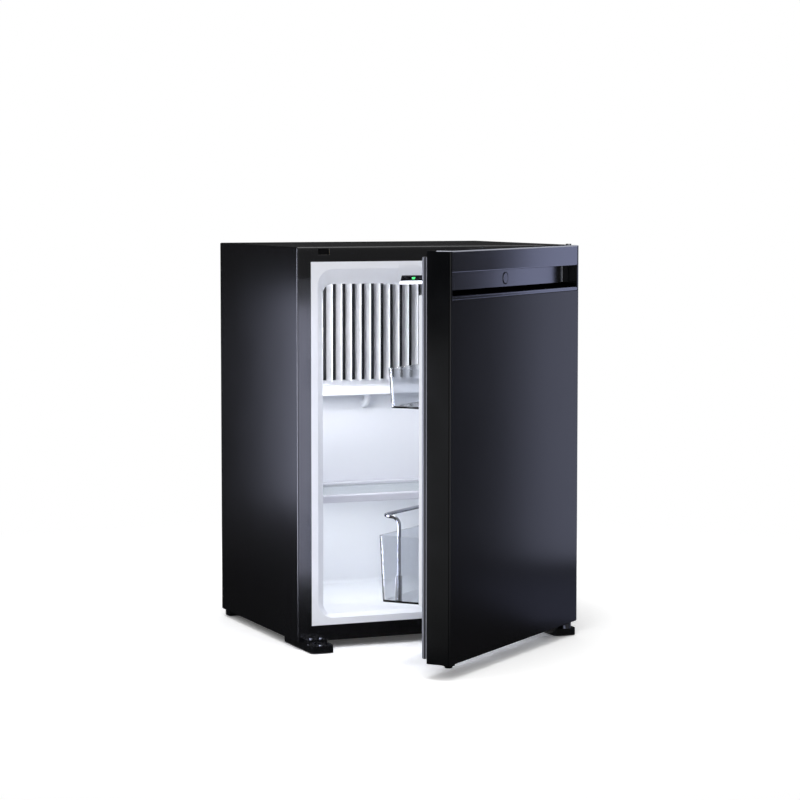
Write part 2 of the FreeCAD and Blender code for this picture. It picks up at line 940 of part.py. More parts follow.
def bin_body(lo, hi, out_low, out_top):
    """Open tray with a hook strip along its back."""
    y0 = door_back_y + bin_back
    y_low, y_top = door_back_y + out_low, door_back_y + out_top
    w = bin_wall
    body = prism_x([(y0, lo), (y_low, lo), (y_top, hi), (y0, hi)], -bin_hw, bin_hw)

    def front_upright(edge):
        p = mid(edge)
        return abs(p.x) > bin_hw - w and near(p.z, (lo + hi) / 2) and p.y > y_low

    body = soften(body, bin_round, front_upright)
    inside = [(y0 + w, lo + w), (y_low - w, lo + w), (y_top - w, hi + over), (y0 + w, hi + over)]
    room = prism_x(inside, -bin_hw + w, bin_hw - w)

    def room_upright(edge):
        p = mid(edge)
        at_front = p.y > y_low - 2 * w and p.z > lo + 2 * w
        return near(abs(p.x), bin_hw - w) and at_front and not along(edge, BACK)

    room = soften(room, bin_round - w, room_upright)
    tab_y = door_back_y + hook_tab_from
    strip = block(-hook_hw, hook_hw, tab_y, y0 + w, hi - w, hi)
    tab = block(-hook_hw, hook_hw, tab_y, tab_y + hook_tab_t, hi - hook_tab_h, hi)
    return fuse([body.cut(room), strip, tab])


def rail_x():
    """Half distance between the legs of the rail."""
    return bin_hw - bin_wall - rail_wall_gap - rail_r


def bottle_rail():
    """Bent wire with two legs and a front run."""
    x = rail_x()
    y0, y1 = door_back_y + rail_leg_out, door_back_y + rail_front_out
    z0 = low_bin_lo + bin_wall
    points = [(-x, y0, z0), (-x, y0, rail_bend_z), (-x, y1, rail_front_z)]
    points += [(x, y1, rail_front_z), (x, y0, rail_bend_z), (x, y0, z0)]
    return pipe(points, rail_r, rail_bend)


def lower_bin():
    """Lower tray with two sockets for the rail's legs."""
    body = bin_body(low_bin_lo, low_bin_hi, low_bin_out_low, low_bin_out_top)
    y = door_back_y + rail_leg_out
    z0 = low_bin_lo + bin_wall / 2
    sockets = [rod_z(socket_r, side * rail_x(), y, z0, z0 + socket_h) for side in (-1, 1)]
    inside = block(-bin_hw, bin_hw, door_back_y, y + over + socket_r, z0, z0 + socket_h + over)
    sockets = [socket.common(inside) for socket in sockets]
    return cut(fuse([body] + sockets), [bottle_rail()])


# Hinges


def arm_plan(z0, z1):
    """Hinge arm between two levels: eye, slanted bar and tail."""
    root = V((slot_in + slot_out) / 2, front_y, z0)
    eye = V(axis_x, axis_y, z0)
    way = (eye - root).normalize()
    side = way.cross(UP) * (arm_w / 2)
    corners = [root + side, eye + side, eye - side, root - side]
    bar = Part.Face(Part.makePolygon(corners + corners[:1])).extrude(UP * (z1 - z0))
    ring = rod_z(arm_eye_r, axis_x, axis_y, z0, z1)
    hw = arm_w / 2
    tail = block(root.x - hw, root.x + hw, front_y - hw, front_y + arm_tail, z0, z1)
    return fuse([bar, ring, tail])


def upper_hinge_arm():
    """Steel arm from the cabinet into the door's top corner."""
    hole = rod_z(pin_r + pin_run, axis_x, axis_y, arm_lo - over, arm_hi + over)
    return arm_plan(arm_lo, arm_hi).cut(hole)


def arm_room():
    """Place of the arm's tail in the foam."""
    return arm_plan(arm_lo, arm_hi)


def upper_hinge_pin():
    """Headed pin set in the door from above."""
    z0 = arm_lo - arm_slot_gap - pin_into_bush
    shank = rod_z(pin_r, axis_x, axis_y, z0, top_z)
    head = rod_z(pin_head_r, axis_x, axis_y, top_z, top_z + pin_head_h)
    return fuse([shank, head])


def upper_hinge_block():
    """Block inside the fascia that holds the pin below the arm."""
    z0, z1 = top_z - fascia_h + handle_wall, arm_lo - arm_slot_gap
    y0, y1 = door_y + handle_wall, door_y + recess_d
    body = block(axis_x - block_hw, axis_x + block_hw, y0, y1, z0, z1)
    return body.cut(upper_hinge_pin())


def lower_hinge_bush():
    """Bush in the door that turns on the lower pin."""
    z0, z1 = door_lo - bush_gap, door_lo + bush_deep
    bush = rod_z(bush_r, axis_x, axis_y, z0, z1)
    return bush.cut(rod_z(pin_r + pin_run, axis_x, axis_y, z0 - over, z1 + over))


def spare_bush():
    """Plugged bush of the free side, for turning the door round."""
    z0 = door_lo - spare_step_h
    body = rod_z(bush_r, -axis_x, axis_y, door_lo, door_lo + bush_deep)
    flange = rod_z(spare_flange_r, -axis_x, axis_y, z0, door_lo)
    return fuse([body, flange, rod_z(spare_boss_r, -axis_x, axis_y, z0 - spare_boss_h, z0)])


def lower_hinge_pin():
    """Pin with a collar that carries the door."""
    shank = rod_z(pin_r, axis_x, axis_y, foot_h - pin_seat, door_lo + pin_into_bush)
    collar = rod_z(collar_r, axis_x, axis_y, foot_h, door_lo - 2 * bush_gap)
    return fuse([shank, collar])


# Feet


def front_foot(side):
    """Block under a front corner with a nose in front of the cabinet."""
    outer = side * (half_w - foot_from_side)
    x0, x1 = sorted([outer, outer - side * foot_w])
    nose = block(x0, x1, front_y - foot_nose, front_y + foot_back, 0, foot_h)
    nose = soften(nose, foot_round, lambda edge: along(edge, UP))
    x0, x1 = sorted([outer, outer - side * (foot_w - riser_in)])
    riser = block(x0, x1, front_y - riser_d, front_y, foot_h, foot_h + riser_h)

    def at_front(edge):
        return along(edge, UP) and mid(edge).y < front_y - riser_d / 2

    riser = soften(riser, riser_round, at_front)
    return fuse([nose, riser])


def foot_screws(side):
    """Three screws of a front foot; the hinge side has its pin in the nose."""
    x = side * (half_w - foot_from_side - riser_screw_in)
    places = []
    for i in range(2):
        places.append((x - side * i * riser_screw_step, front_y - riser_screw_y, foot_h + riser_h))
    if side < 0:
        nose_x = half_w - foot_from_side - nose_screw_in
        places.append((-nose_x, front_y - nose_screw_y, foot_h))
    screws = []
    for x, y, z in places:
        head = rod_z(screw_head_r, x, y, z, z + screw_head_h)
        screws.append(fuse([head, rod_z(screw_r, x, y, z - screw_len, z)]))
    return screws


def rear_feet():
    """Two blocks under the rear corners."""
    feet = []
    for side in (-1, 1):
        outer = side * (half_w - foot_from_side)
        x0, x1 = sorted([outer, outer - side * foot_w])
        feet.append(block(x0, x1, back_y - rear_foot_d, back_y, 0, foot_h))
    return Part.makeCompound(feet)


# Absorption unit


def absorber_vessel():
    """Lying vessel at the foot of the unit."""
    return rod_x(vessel_r, unit_left, vessel_right, unit_y, vessel_z)


def boiler_pipe():
    """From the vessel through the boiler casing up to the condenser."""
    points = [(vessel_right, unit_y, vessel_z), (boiler_x, unit_y, vessel_z)]
    points += [(boiler_x, unit_y, cond_z), (cond_right, unit_y, cond_z)]
    return pipe(points, boiler_r, boiler_bend)


def boiler_casing():
    """Sheet casing round the boiler."""
    x0, x1 = boiler_x - case_hw, boiler_x + case_hw
    y0, y1 = unit_y - case_hd, unit_y + case_hd
    outer = block(x0, x1, y0, y1, case_lo, case_hi)
    return cut(outer, [boiler_room(), boiler_pipe(), heater_cable()])


def boiler_room():
    """Inside of the boiler casing."""
    hw, hd = case_hw - case_wall, case_hd - case_wall
    z0, z1 = case_lo + case_wall, case_hi - case_wall
    return block(boiler_x - hw, boiler_x + hw, unit_y - hd, unit_y + hd, z0, z1)


def heater_cartridge():
    """Heating rod beside the boiler tube."""
    x = boiler_x - boiler_r - heater_gap - heater_r
    return rod_z(heater_r, x, unit_y, heater_lo, heater_hi)


def boiler_insulation():
    """Filling of the boiler casing."""
    return cut(boiler_room(), [boiler_pipe(), heater_cartridge(), heater_cable()])


def condenser_pipe():
    """Finned run, then down to the cold pipe."""
    out = back_y + port_gap
    points = [(cond_right, unit_y, cond_z), (unit_left, unit_y, cond_z), (unit_left, unit_y, chill_z)]
    points += [(-tap_x, unit_y, chill_z), (-tap_x, out, chill_z)]
    return pipe(points, pipe_r, pipe_bend)


def condenser_fins():
    """Square plates on the condenser."""
    hd = unit_d / 2 - cond_fin_gap
    bore = rod_x(pipe_r, unit_left, cond_right, unit_y, cond_z)
    fins = []
    for i in range(cond_fin_count):
        x = cond_fin_first - i * cond_fin_pitch
        z0, z1 = cond_z - cond_fin_hh, cond_z + cond_fin_hh
        plate = block(x, x + cond_fin_t, unit_y - hd, unit_y + hd, z0, z1)
        fins.append(plate.cut(bore))
    return Part.makeCompound(fins)


def gas_exchanger():
    """From the cold pipe down to the vessel."""
    out = back_y + port_gap
    points = [(tap_x, out, chill_z), (tap_x, unit_y, chill_z), (tap_x, unit_y, vessel_z)]
    neck = pipe(points, pipe_r, pipe_bend)
    jacket = rod_z(exchanger_r, tap_x, unit_y, vessel_z, chill_z - pipe_bend - pipe_r)
    return fuse([neck, jacket]).cut(absorber_vessel())


def absorber_coil():
    """Zigzag pipe from the vessel up to the heat exchanger."""
    points = [(coil_start_x, unit_y, vessel_z), (coil_start_x, unit_y, coil_first_z)]
    x = coil_right
    for row in range(coil_rows):
        z = coil_first_z + row * coil_pitch
        if row:
            points.append((x, unit_y, z))
            x = unit_left if x == coil_right else coil_right
        points.append((x if row < coil_rows - 1 else tap_x, unit_y, z))
    return cut(pipe(points, pipe_r, coil_pitch * coil_bend_share), [absorber_vessel(), gas_exchanger()])


def unit_straps():
    """Upright plates that carry the pipes, and the rest of the boiler casing."""
    straps = []
    for x in strap_xs:
        web = block(x, x + strap_t, back_y, unit_y, strap_lo, strap_hi)
        foot = block(x, x + strap_foot_w, back_y, back_y + strap_t, strap_lo, strap_hi)
        straps.append(cut(fuse([web, foot]), [absorber_coil(), absorber_vessel()]))
    y1 = unit_y - case_hd
    z0, z1 = case_strap_lo, case_strap_lo + case_strap_h
    straps.append(block(boiler_x - case_strap_hw, boiler_x + case_strap_hw, back_y, y1, z0, z1))
    return Part.makeCompound(straps)


# Electronics


def electronics_box():
    """Moulded box on the back panel."""
    y1 = back_y + ebox_d
    body = block(ebox_left, ebox_right, back_y, y1, ebox_lo, ebox_hi)
    body = soften(body, ebox_round, lambda edge: near(mid(edge).y, y1))
    w = ebox_wall
    room = block(ebox_left + w, ebox_right - w, back_y + w, y1 - w, ebox_lo + w, ebox_hi - w)
    return cut(body, [room, heater_cable(), module_cable()])


def power_inlet():
    """Appliance inlet with three blades, open downwards."""
    x0, x1 = inlet_x - inlet_hw, inlet_x + inlet_hw
    y0 = back_y + inlet_from_panel
    y1 = y0 + inlet_d
    z0 = ebox_lo - inlet_h
    w = inlet_wall
    body = block(x0, x1, y0, y1, z0, ebox_lo)
    body = body.cut(block(x0 + w, x1 - w, y0 + w, y1 - w, z0 - over, ebox_lo - w))
    blades = []
    y = (y0 + y1) / 2
    z1 = ebox_lo - w
    for i in range(blade_count):
        x = inlet_x + blade_pitch * (i - (blade_count - 1) / 2)
        hw, hd = blade_w / 2, blade_t / 2
        blades.append(block(x - hw, x + hw, y - hd, y + hd, z1 - blade_h, z1))
    return fuse([body] + blades)


def heater_cable():
    """From the electronics box down into the boiler casing."""
    y = back_y + heater_cable_from_panel
    return rod_z(cable_r, heater_cable_x, y, case_hi - heater_cable_into, ebox_lo + ebox_wall)


def module_cable():
    """From the electronics box up, through the back wall and on to the control module."""
    y0 = back_y + cable_from_panel
    y1 = back_y - mod_cable_turn
    y2 = front_y + mod_d - mod_wall
    z0, z1 = ebox_hi - ebox_wall, mod_cable_z
    points = [(mod_cable_x, y0, z0), (mod_cable_x, y0, z1), (mod_cable_x, y1, z1)]
    points += [(mod_cable_end_x, y1, z1), (mod_cable_end_x, y2, z1)]
    return pipe(points, cable_r, cable_bend)


# Write every node

os.makedirs("parts", exist_ok=True)

shelf_front, shelf_back = shelf_places()[:2]
screws_left, screws_right = foot_screws(-1), foot_screws(1)
foot_left = cut(front_foot(-1), screws_left)
foot_right = cut(front_foot(1), screws_right + [lower_hinge_pin()])

save("cabinet_shell", cabinet_shell())
save("base_pan", base_pan())
save("back_panel", back_panel())
save("cabinet_foam", cabinet_foam())
save("inner_liner", inner_liner())
save("hinge_slot_plug", slot_plug())
save("back_panel_screws", Part.makeCompound(panel_screws()))
save("left_front_foot", foot_left)
save("lower_hinge_foot", foot_right)
save("rear_feet", rear_feet())
save("foot_screws", Part.makeCompound(screws_left + screws_right))
save("lower_hinge_pin", lower_hinge_pin())
save("upper_hinge_arm", upper_hinge_arm())
save("evaporator_fins", evaporator_fins())
save("evaporator_block", chill_block().cut(chill_pipe()))
save("evaporator_tube", chill_pipe())
save("drip_channel", drip_channel())
save("drain_tube", drain_pipe())
save("shelf_glass", shelf_glass())
save("shelf_front_trim", shelf_trim(shelf_front, shelf_front + trim_depth))
save("shelf_rear_trim", shelf_trim(shelf_back - trim_depth, shelf_back))
save("control_housing", control_housing())
save("display_strip", display_strip())
save("status_light", led_form())
save("light_lens", lens_form())
save("control_board", control_board())
save("set_button", button_form(0, button_back))
save("absorber_vessel", absorber_vessel())
save("absorber_coil", absorber_coil())
save("gas_heat_exchanger", gas_exchanger())
save("boiler_tube", boiler_pipe())
save("boiler_casing", boiler_casing())
save("boiler_insulation", boiler_insulation())
save("heater_cartridge", heater_cartridge())
save("condenser_tube", condenser_pipe())
save("condenser_fins", condenser_fins())
save("unit_straps", unit_straps())
save("electronics_box", electronics_box())
save("power_inlet", power_inlet())
save("heater_cable", heater_cable())
save("module_cable", module_cable())

save("door_panel", swing(door_panel()))
save("door_frame", swing(door_frame()))
save("door_foam", swing(door_foam()))
save("door_liner", swing(door_liner()))
save("door_gasket", swing(door_gasket()))
save("handle_trim", swing(handle_trim()))
save("handle_end_caps", swing(handle_caps()))
save("lock_plug", swing(lock_plug()))
save("upper_hinge_pin", swing(upper_hinge_pin()))
save("upper_hinge_block", swing(upper_hinge_block()))
save("lower_hinge_bush", swing(lower_hinge_bush()))
save("spare_hinge_bush", swing(spare_bush()))
save("upper_bin", swing(bin_body(top_bin_lo, top_bin_hi, top_bin_out_low, top_bin_out_top)))
save("lower_bin", swing(lower_bin()))
save("bottle_rail", swing(bottle_rail()))
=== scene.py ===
import json
import logging
import math
from dataclasses import dataclass
from enum import Enum
from typing import Any, Callable, Dict, List, Optional, Tuple

import bpy
from mathutils import Matrix, Vector


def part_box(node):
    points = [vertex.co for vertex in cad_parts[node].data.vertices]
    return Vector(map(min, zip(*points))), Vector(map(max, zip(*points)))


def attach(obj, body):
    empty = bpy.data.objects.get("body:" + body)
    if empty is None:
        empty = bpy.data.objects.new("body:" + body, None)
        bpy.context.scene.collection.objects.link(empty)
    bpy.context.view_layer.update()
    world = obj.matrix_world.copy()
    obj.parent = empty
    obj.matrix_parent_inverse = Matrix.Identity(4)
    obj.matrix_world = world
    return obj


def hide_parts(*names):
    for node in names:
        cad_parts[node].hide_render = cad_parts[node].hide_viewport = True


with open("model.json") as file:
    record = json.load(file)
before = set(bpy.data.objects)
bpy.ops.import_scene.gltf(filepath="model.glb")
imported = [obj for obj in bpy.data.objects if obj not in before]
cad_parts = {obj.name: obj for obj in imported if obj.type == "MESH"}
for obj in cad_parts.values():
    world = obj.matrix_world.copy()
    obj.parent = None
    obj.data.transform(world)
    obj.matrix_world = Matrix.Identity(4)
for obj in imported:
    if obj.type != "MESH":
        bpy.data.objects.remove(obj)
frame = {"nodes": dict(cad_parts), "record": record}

LOG = logging.getLogger("minibar")
MM = 0.001
Y_AXIS, Z_AXIS = 1, 2
# Sockets of a colour mix node: three inputs and the result.
MIX_FACTOR, MIX_A, MIX_B, MIX_RESULT = 0, 6, 7, 2
# Detail of the grain and of the slow patches, and the part of a noise's range that is used.
GRAIN_DETAIL, PATCH_DETAIL = 3.0, 2.0
NOISE_LOW, NOISE_HIGH = 0.3, 0.7
# Corners of a CAD mesh closer than this are one, and faces that turn less than this are one.
WELD = 0.000005
FLAT_DEG = 0.3
# Edges that turn less than this are shaded smooth, and large faces are kept flat by their weight.
SMOOTH_DEG = 35.0
FACE_WEIGHT = 100
# What counts as nearly all, or as most, of a length or of a unit normal.
NEARLY, MOSTLY = 0.99, 0.9
# At rest the door is open by this much about the axis of its hinge pins.
DOOR_REST_DEG = 39.5
DOOR_AXIS = Vector((0.182, -0.213, 0.0))
DOOR_TURN = (Matrix.Translation(DOOR_AXIS)
             @ Matrix.Rotation(math.radians(DOOR_REST_DEG), 4, "Z")
             @ Matrix.Translation(-DOOR_AXIS))
DOOR_SHUT = DOOR_TURN.inverted()

Colour = Tuple[float, float, float, float]
Point = Tuple[float, float, float]


def linear(hex_colour: str) -> Colour:
    """Turn an sRGB hex colour into linear light.

    Args:
        hex_colour: Six hex digits with a leading hash.

    Returns:
        Red, green, blue and alpha in linear light.
    """
    parts = [int(hex_colour[i:i + 2], 16) / 255 for i in (1, 3, 5)]
    # The sRGB curve: straight near black, a power above.
    red, green, blue = (
        p / 12.92 if p <= 0.04045 else ((p + 0.055) / 1.055) ** 2.4 for p in parts)
    return red, green, blue, 1.0


def add_node(tree: bpy.types.NodeTree, kind: str, inputs: Optional[Dict[Any, Any]] = None,
             **settings: Any) -> bpy.types.Node:
    """Add a node with its settings, values and links.

    Args:
        tree: Node tree that gets the node.
        kind: Blender's name of the node type.
        inputs: Values or sockets by input name or index.
        settings: Attributes of the node itself.

    Returns:
        The new node.
    """
    node = tree.nodes.new(kind)
    for key, value in settings.items():
        setattr(node, key, value)
    for key, value in (inputs or {}).items():
        if isinstance(value, bpy.types.NodeSocket):
            tree.links.new(value, node.inputs[key])
        else:
            node.inputs[key].default_value = value
    return node


def scale_for(size_mm: float) -> float:
    """Texture scale whose features are about size_mm across."""
    return 1.0 / (size_mm * MM)


class Turn(Enum):
    """Which way a pattern is turned: with the cabinet or with the open door."""

    CABINET = 0.0
    DOOR = DOOR_REST_DEG


@dataclass(frozen=True)
class Band:
    """A second colour between two places along an axis.

    Attributes:
        axis: 0, 1 or 2 for X, Y or Z.
        start: Place in metres where the band begins.
        full: Place in metres from which it is full.
        stop: Place in metres where it ends.
        colour: sRGB hex colour of the band.
    """

    axis: int
    start: float
    full: float
    stop: float
    colour: str

    def over(self, tree: bpy.types.NodeTree, place: bpy.types.NodeSocket,
             base: bpy.types.NodeSocket) -> bpy.types.NodeSocket:
        """Lay the band over a colour.

        Args:
            tree: Node tree of the material.
            place: Object coordinates, turned with the part.
            base: Colour below the band.

        Returns:
            The banded colour.
        """
        parts = add_node(tree, "ShaderNodeSeparateXYZ", {0: place})
        along = parts.outputs[self.axis]
        rise = add_node(tree, "ShaderNodeMapRange", {
            "Value": along, "From Min": self.start, "From Max": self.full})
        inside = add_node(tree, "ShaderNodeMath", {0: along, 1: self.stop}, operation="LESS_THAN")
        mask = add_node(tree, "ShaderNodeMath", {0: rise.outputs[0], 1: inside.outputs[0]},
                        operation="MULTIPLY")
        mixed = add_node(tree, "ShaderNodeMix", {
            MIX_FACTOR: mask.outputs[0], MIX_A: base, MIX_B: linear(self.colour)},
            data_type="RGBA")
        return mixed.outputs[MIX_RESULT]


@dataclass(frozen=True)
class Finish:
    """A surface finish that becomes one material.

    Attributes:
        name: Name of the material, or of the painted light or shade that it stands for.
        colour: sRGB hex colour.
        roughness: Mean roughness.
        metallic: One for a bare metal.
        ior: Index of refraction.
        grain_mm: Size of the surface grain.
        grain_depth_mm: Depth of the grain as bump.
        mottle_mm: Size of the slow patches in gloss and colour.
        mottle: How far the patches change the roughness.
        tint: How far the patches change the colour.
        stretch: Stretch of the grain along X, Y and Z.
        turn: Which way the grain is turned.
        transmission: One for a clear material.
        glow: Strength of its own light.
        sheen: Strength of the reflections, where 0.5 is plain.
        bands: Other colours on parts of the surface.
    """

    name: str
    colour: str
    roughness: float
    metallic: float = 0.0
    ior: float = 1.5
    grain_mm: float = 1.5
    grain_depth_mm: float = 0.01
    mottle_mm: float = 60.0
    mottle: float = 0.03
    tint: float = 0.04
    stretch: Point = (1.0, 1.0, 1.0)
    turn: Turn = Turn.CABINET
    transmission: float = 0.0
    glow: float = 0.0
    sheen: float = 0.5
    bands: Tuple[Band, ...] = ()

    def build(self) -> bpy.types.Material:
        """Make the material.

        Returns:
            A node material with grain, slow patches and its constants set on the shader.
        """
        material = bpy.data.materials.new(self.name)
        material.use_nodes = True
        tree = material.node_tree
        shader = tree.nodes["Principled BSDF"]
        place = add_node(tree, "ShaderNodeTexCoord").outputs["Object"]
        turned = add_node(tree, "ShaderNodeMapping", {"Vector": place})
        turned.inputs["Rotation"].default_value = (0.0, 0.0, -math.radians(self.turn.value))
        drawn = add_node(tree, "ShaderNodeMapping", {"Vector": turned.outputs[0]})
        drawn.inputs["Scale"].default_value = tuple(1.0 / s for s in self.stretch)
        grain = add_node(tree, "ShaderNodeTexNoise", {
            "Vector": drawn.outputs[0], "Scale": scale_for(self.grain_mm),
            "Detail": GRAIN_DETAIL})
        patches = add_node(tree, "ShaderNodeTexNoise", {
            "Vector": turned.outputs[0], "Scale": scale_for(self.mottle_mm),
            "Detail": PATCH_DETAIL})
        gloss = add_node(tree, "ShaderNodeMapRange", {
            "Value": patches.outputs["Fac"], "From Min": NOISE_LOW, "From Max": NOISE_HIGH,
            "To Min": max(self.roughness - self.mottle, 0.0),
            "To Max": self.roughness + self.mottle})
        base = linear(self.colour)
        shade = add_node(tree, "ShaderNodeMix", {
            MIX_FACTOR: patches.outputs["Fac"],
            MIX_A: tuple(c * (1 - self.tint) for c in base[:3]) + (1.0,),
            MIX_B: tuple(min(c * (1 + self.tint), 1.0) for c in base[:3]) + (1.0,)},
            data_type="RGBA")
        bump = add_node(tree, "ShaderNodeBump", {
            "Height": grain.outputs["Fac"], "Strength": 1.0,
            "Distance": self.grain_depth_mm * MM})
        tone = shade.outputs[MIX_RESULT]
        for band in self.bands:
            tone = band.over(tree, turned.outputs[0], tone)
        tree.links.new(tone, shader.inputs["Base Color"])
        tree.links.new(gloss.outputs[0], shader.inputs["Roughness"])
        tree.links.new(bump.outputs[0], shader.inputs["Normal"])
        shader.inputs["Metallic"].default_value = self.metallic
        shader.inputs["IOR"].default_value = self.ior
        shader.inputs["Specular IOR Level"].default_value = self.sheen
        shader.inputs["Transmission Weight"].default_value = self.transmission
        if self.glow:
            shader.inputs["Emission Color"].default_value = base
            shader.inputs["Emission Strength"].default_value = self.glow
        return material


# Powder-coated sheet steel: a satin black with a faint orange peel that spreads reflections.
POWDER_COAT = Finish("powder_coated_steel", "#07070A", 0.25, ior=1.52, grain_mm=2.2,
                     grain_depth_mm=0.003, mottle_mm=120.0, mottle=0.012, tint=0.02)
# The same coat on the door's sheet, glossier, and painted a little darker as shade.
DOOR_COAT = Finish("powder_coated_door_sheet", "#050508", 0.24, ior=1.52, grain_mm=2.2,
                   grain_depth_mm=0.003, mottle_mm=120.0, mottle=0.012, tint=0.02,
                   turn=Turn.DOOR)
# Black anodised extrusion: brighter reflections, drawn out along its length by the die lines.
ANODISED = Finish("black_anodised_aluminium", "#83858E", 0.20, metallic=1.0, grain_mm=1.6,
                  grain_depth_mm=0.003, stretch=(40.0, 1.0, 1.0), mottle=0.01,
                  turn=Turn.DOOR)
# Painted shade: the floor of the finger recess and the top of the door are near black, with no
# reflection.
SHADE_BLACK = Finish("painted_shade_black", "#030304", 0.6, grain_depth_mm=0.004, sheen=0.0,
                    turn=Turn.DOOR)
# Painted highlight: a pale line on the rounded top edge of the door, where the light catches it.
TOP_EDGE_HIGHLIGHT = Finish("painted_top_edge_highlight", "#A6A9B4", 0.3, grain_depth_mm=0.004,
                   turn=Turn.DOOR)
# Moulded black ABS with a fine spark texture, so it stays duller than the paint.
BLACK_ABS = Finish("moulded_black_abs", "#131416", 0.46, grain_mm=1.2, grain_depth_mm=0.03,
                   mottle=0.04)
# The feet are polished in the mould, so their rounded edges catch the light.
FOOT_ABS = Finish("polished_black_abs", "#0A0B0E", 0.17, ior=1.6, grain_mm=1.2,
                  grain_depth_mm=0.004)
# The door's frame and end caps have a finer texture and mirror the studio softly.
DOOR_ABS = Finish("moulded_black_door_edge", "#040506", 0.22, ior=1.44, grain_mm=1.2,
                  grain_depth_mm=0.02, turn=Turn.DOOR)
# Unlit black polyamide, deep in its slot.
SLOT_BLACK = Finish("black_polyamide_plug", "#030303", 0.8, grain_depth_mm=0.02, sheen=0.1)
# Zinc-plated steel: cool grey with cloudy spangle.
ZINC = Finish("zinc_plated_steel", "#B4B7BA", 0.38, metallic=1.0, grain_mm=6.0,
              grain_depth_mm=0.006, mottle_mm=14.0, mottle=0.05, tint=0.08)
# Black zinc on the screws and the pin at the feet: dark, with small glints.
BLACK_ZINC = Finish("black_zinc_plated_steel", "#6C6E75", 0.30, metallic=1.0,
                    grain_depth_mm=0.004, mottle=0.02)
# Semi-matt stove enamel on the steel pipes of the cooling unit.
STOVE_BLACK = Finish("stove_enamelled_pipe", "#1B1B1B", 0.45, grain_mm=1.8, grain_depth_mm=0.03,
                     mottle=0.06)
# Vacuum-formed white polystyrene: satin, with a soft ripple from forming.
LINER = Finish("vacuum_formed_polystyrene", "#ECEEF4", 0.34, ior=1.57, grain_mm=14.0,
               grain_depth_mm=0.004, mottle_mm=160.0, mottle=0.02, tint=0.008)
# The same sheet on the back of the door.
DOOR_LINER = Finish("vacuum_formed_door_back", "#ECEEF4", 0.34, ior=1.57, grain_mm=14.0,
                    grain_depth_mm=0.004, mottle_mm=160.0, mottle=0.02, tint=0.008,
                    turn=Turn.DOOR)
# Rigid polyurethane foam with open cut cells.
FOAM = Finish("rigid_polyurethane_foam", "#DCC998", 0.9, grain_mm=2.0, grain_depth_mm=0.4,
              tint=0.08)
# Extruded aluminium with upright die lines.
# The root of the fins stays dark, since little light gets down between them.
FIN = Finish("extruded_aluminium", "#F3F4F8", 0.42, metallic=0.25, grain_mm=1.4,
             grain_depth_mm=0.01, stretch=(1.0, 1.0, 60.0), mottle=0.05,
             bands=(Band(Y_AXIS, 0.0780, 0.0806, 0.2, "#15161B"),))
# Clear toughened float glass with its slight green cast.
GLASS = Finish("toughened_float_glass", "#E6F2EE", 0.02, ior=1.52, grain_depth_mm=0.0,
               mottle=0.0, tint=0.0, transmission=1.0)
# Pale grey ABS of the shelf trims.
GREY_ABS = Finish("moulded_grey_abs", "#D6D7E0", 0.36, grain_mm=1.5, grain_depth_mm=0.012)
# Polished black acrylic of the indicator strip.
BLACK_ACRYLIC = Finish("polished_black_acrylic", "#08080A", 0.06, ior=1.49, grain_depth_mm=0.0,
                       mottle=0.02)
# Lit lamp and lens: both glow evenly behind a moulded diffuser.
GREEN_LAMP = Finish("lit_green_diffuser", "#3BE46A", 0.3, glow=1.6)
OPAL_LENS = Finish("lit_opal_diffuser", "#F4F8FF", 0.3, glow=2.2)
# Glass-fibre circuit board under green solder mask.
BOARD = Finish("solder_masked_board", "#1E5B33", 0.3, grain_mm=1.0, grain_depth_mm=0.01)
# Soft grey plasticised seal with a dull skin. Its two folds are painted near black as shade, with
# a painted highlight as a pale band on the bead between them.
SEAL = Finish("plasticised_seal", "#666871", 0.42, grain_mm=1.4, grain_depth_mm=0.02,
              turn=Turn.DOOR,
              bands=(Band(Y_AXIS, -0.2600, -0.2599, -0.2545, "#050506"),
                     Band(Y_AXIS, -0.2546, -0.2545, -0.2521, "#B6B8C2"),
                     Band(Y_AXIS, -0.2521, -0.2520, -0.2501, "#060607")))
# Clear styrene-acrylonitrile with a light smoke tint.
SMOKE = Finish("smoke_tinted_san", "#EBEDF0", 0.03, ior=1.46, grain_depth_mm=0.0, mottle=0.02,
               tint=0.02, transmission=1.0, turn=Turn.DOOR)
# Painted shade: a dark line in the groove round the lock blank.
GROOVE_SHADE = Finish("painted_groove_shade", "#040405", 0.7, grain_depth_mm=0.0, sheen=0.2,
                      turn=Turn.DOOR)
# Painted highlight: a pale strip at the end of the finger recess, where light catches its inner
# corner.
END_STRIP_HIGHLIGHT = Finish("painted_end_strip_highlight", "#9FA1A8", 0.35, metallic=0.6, grain_depth_mm=0.004,
                   turn=Turn.DOOR)
# Bright chrome plating on bent wire.
CHROME = Finish("chrome_plated_wire", "#94969C", 0.10, metallic=1.0, grain_depth_mm=0.0,
                mottle=0.02)
# Natural nylon with a waxy sheen.
NYLON = Finish("natural_nylon", "#CFCCC0", 0.42, ior=1.53, grain_mm=1.2, grain_depth_mm=0.015)
# Extruded rubber sheath.
SHEATH = Finish("rubber_sheath", "#121212", 0.6, grain_mm=1.0, grain_depth_mm=0.02)

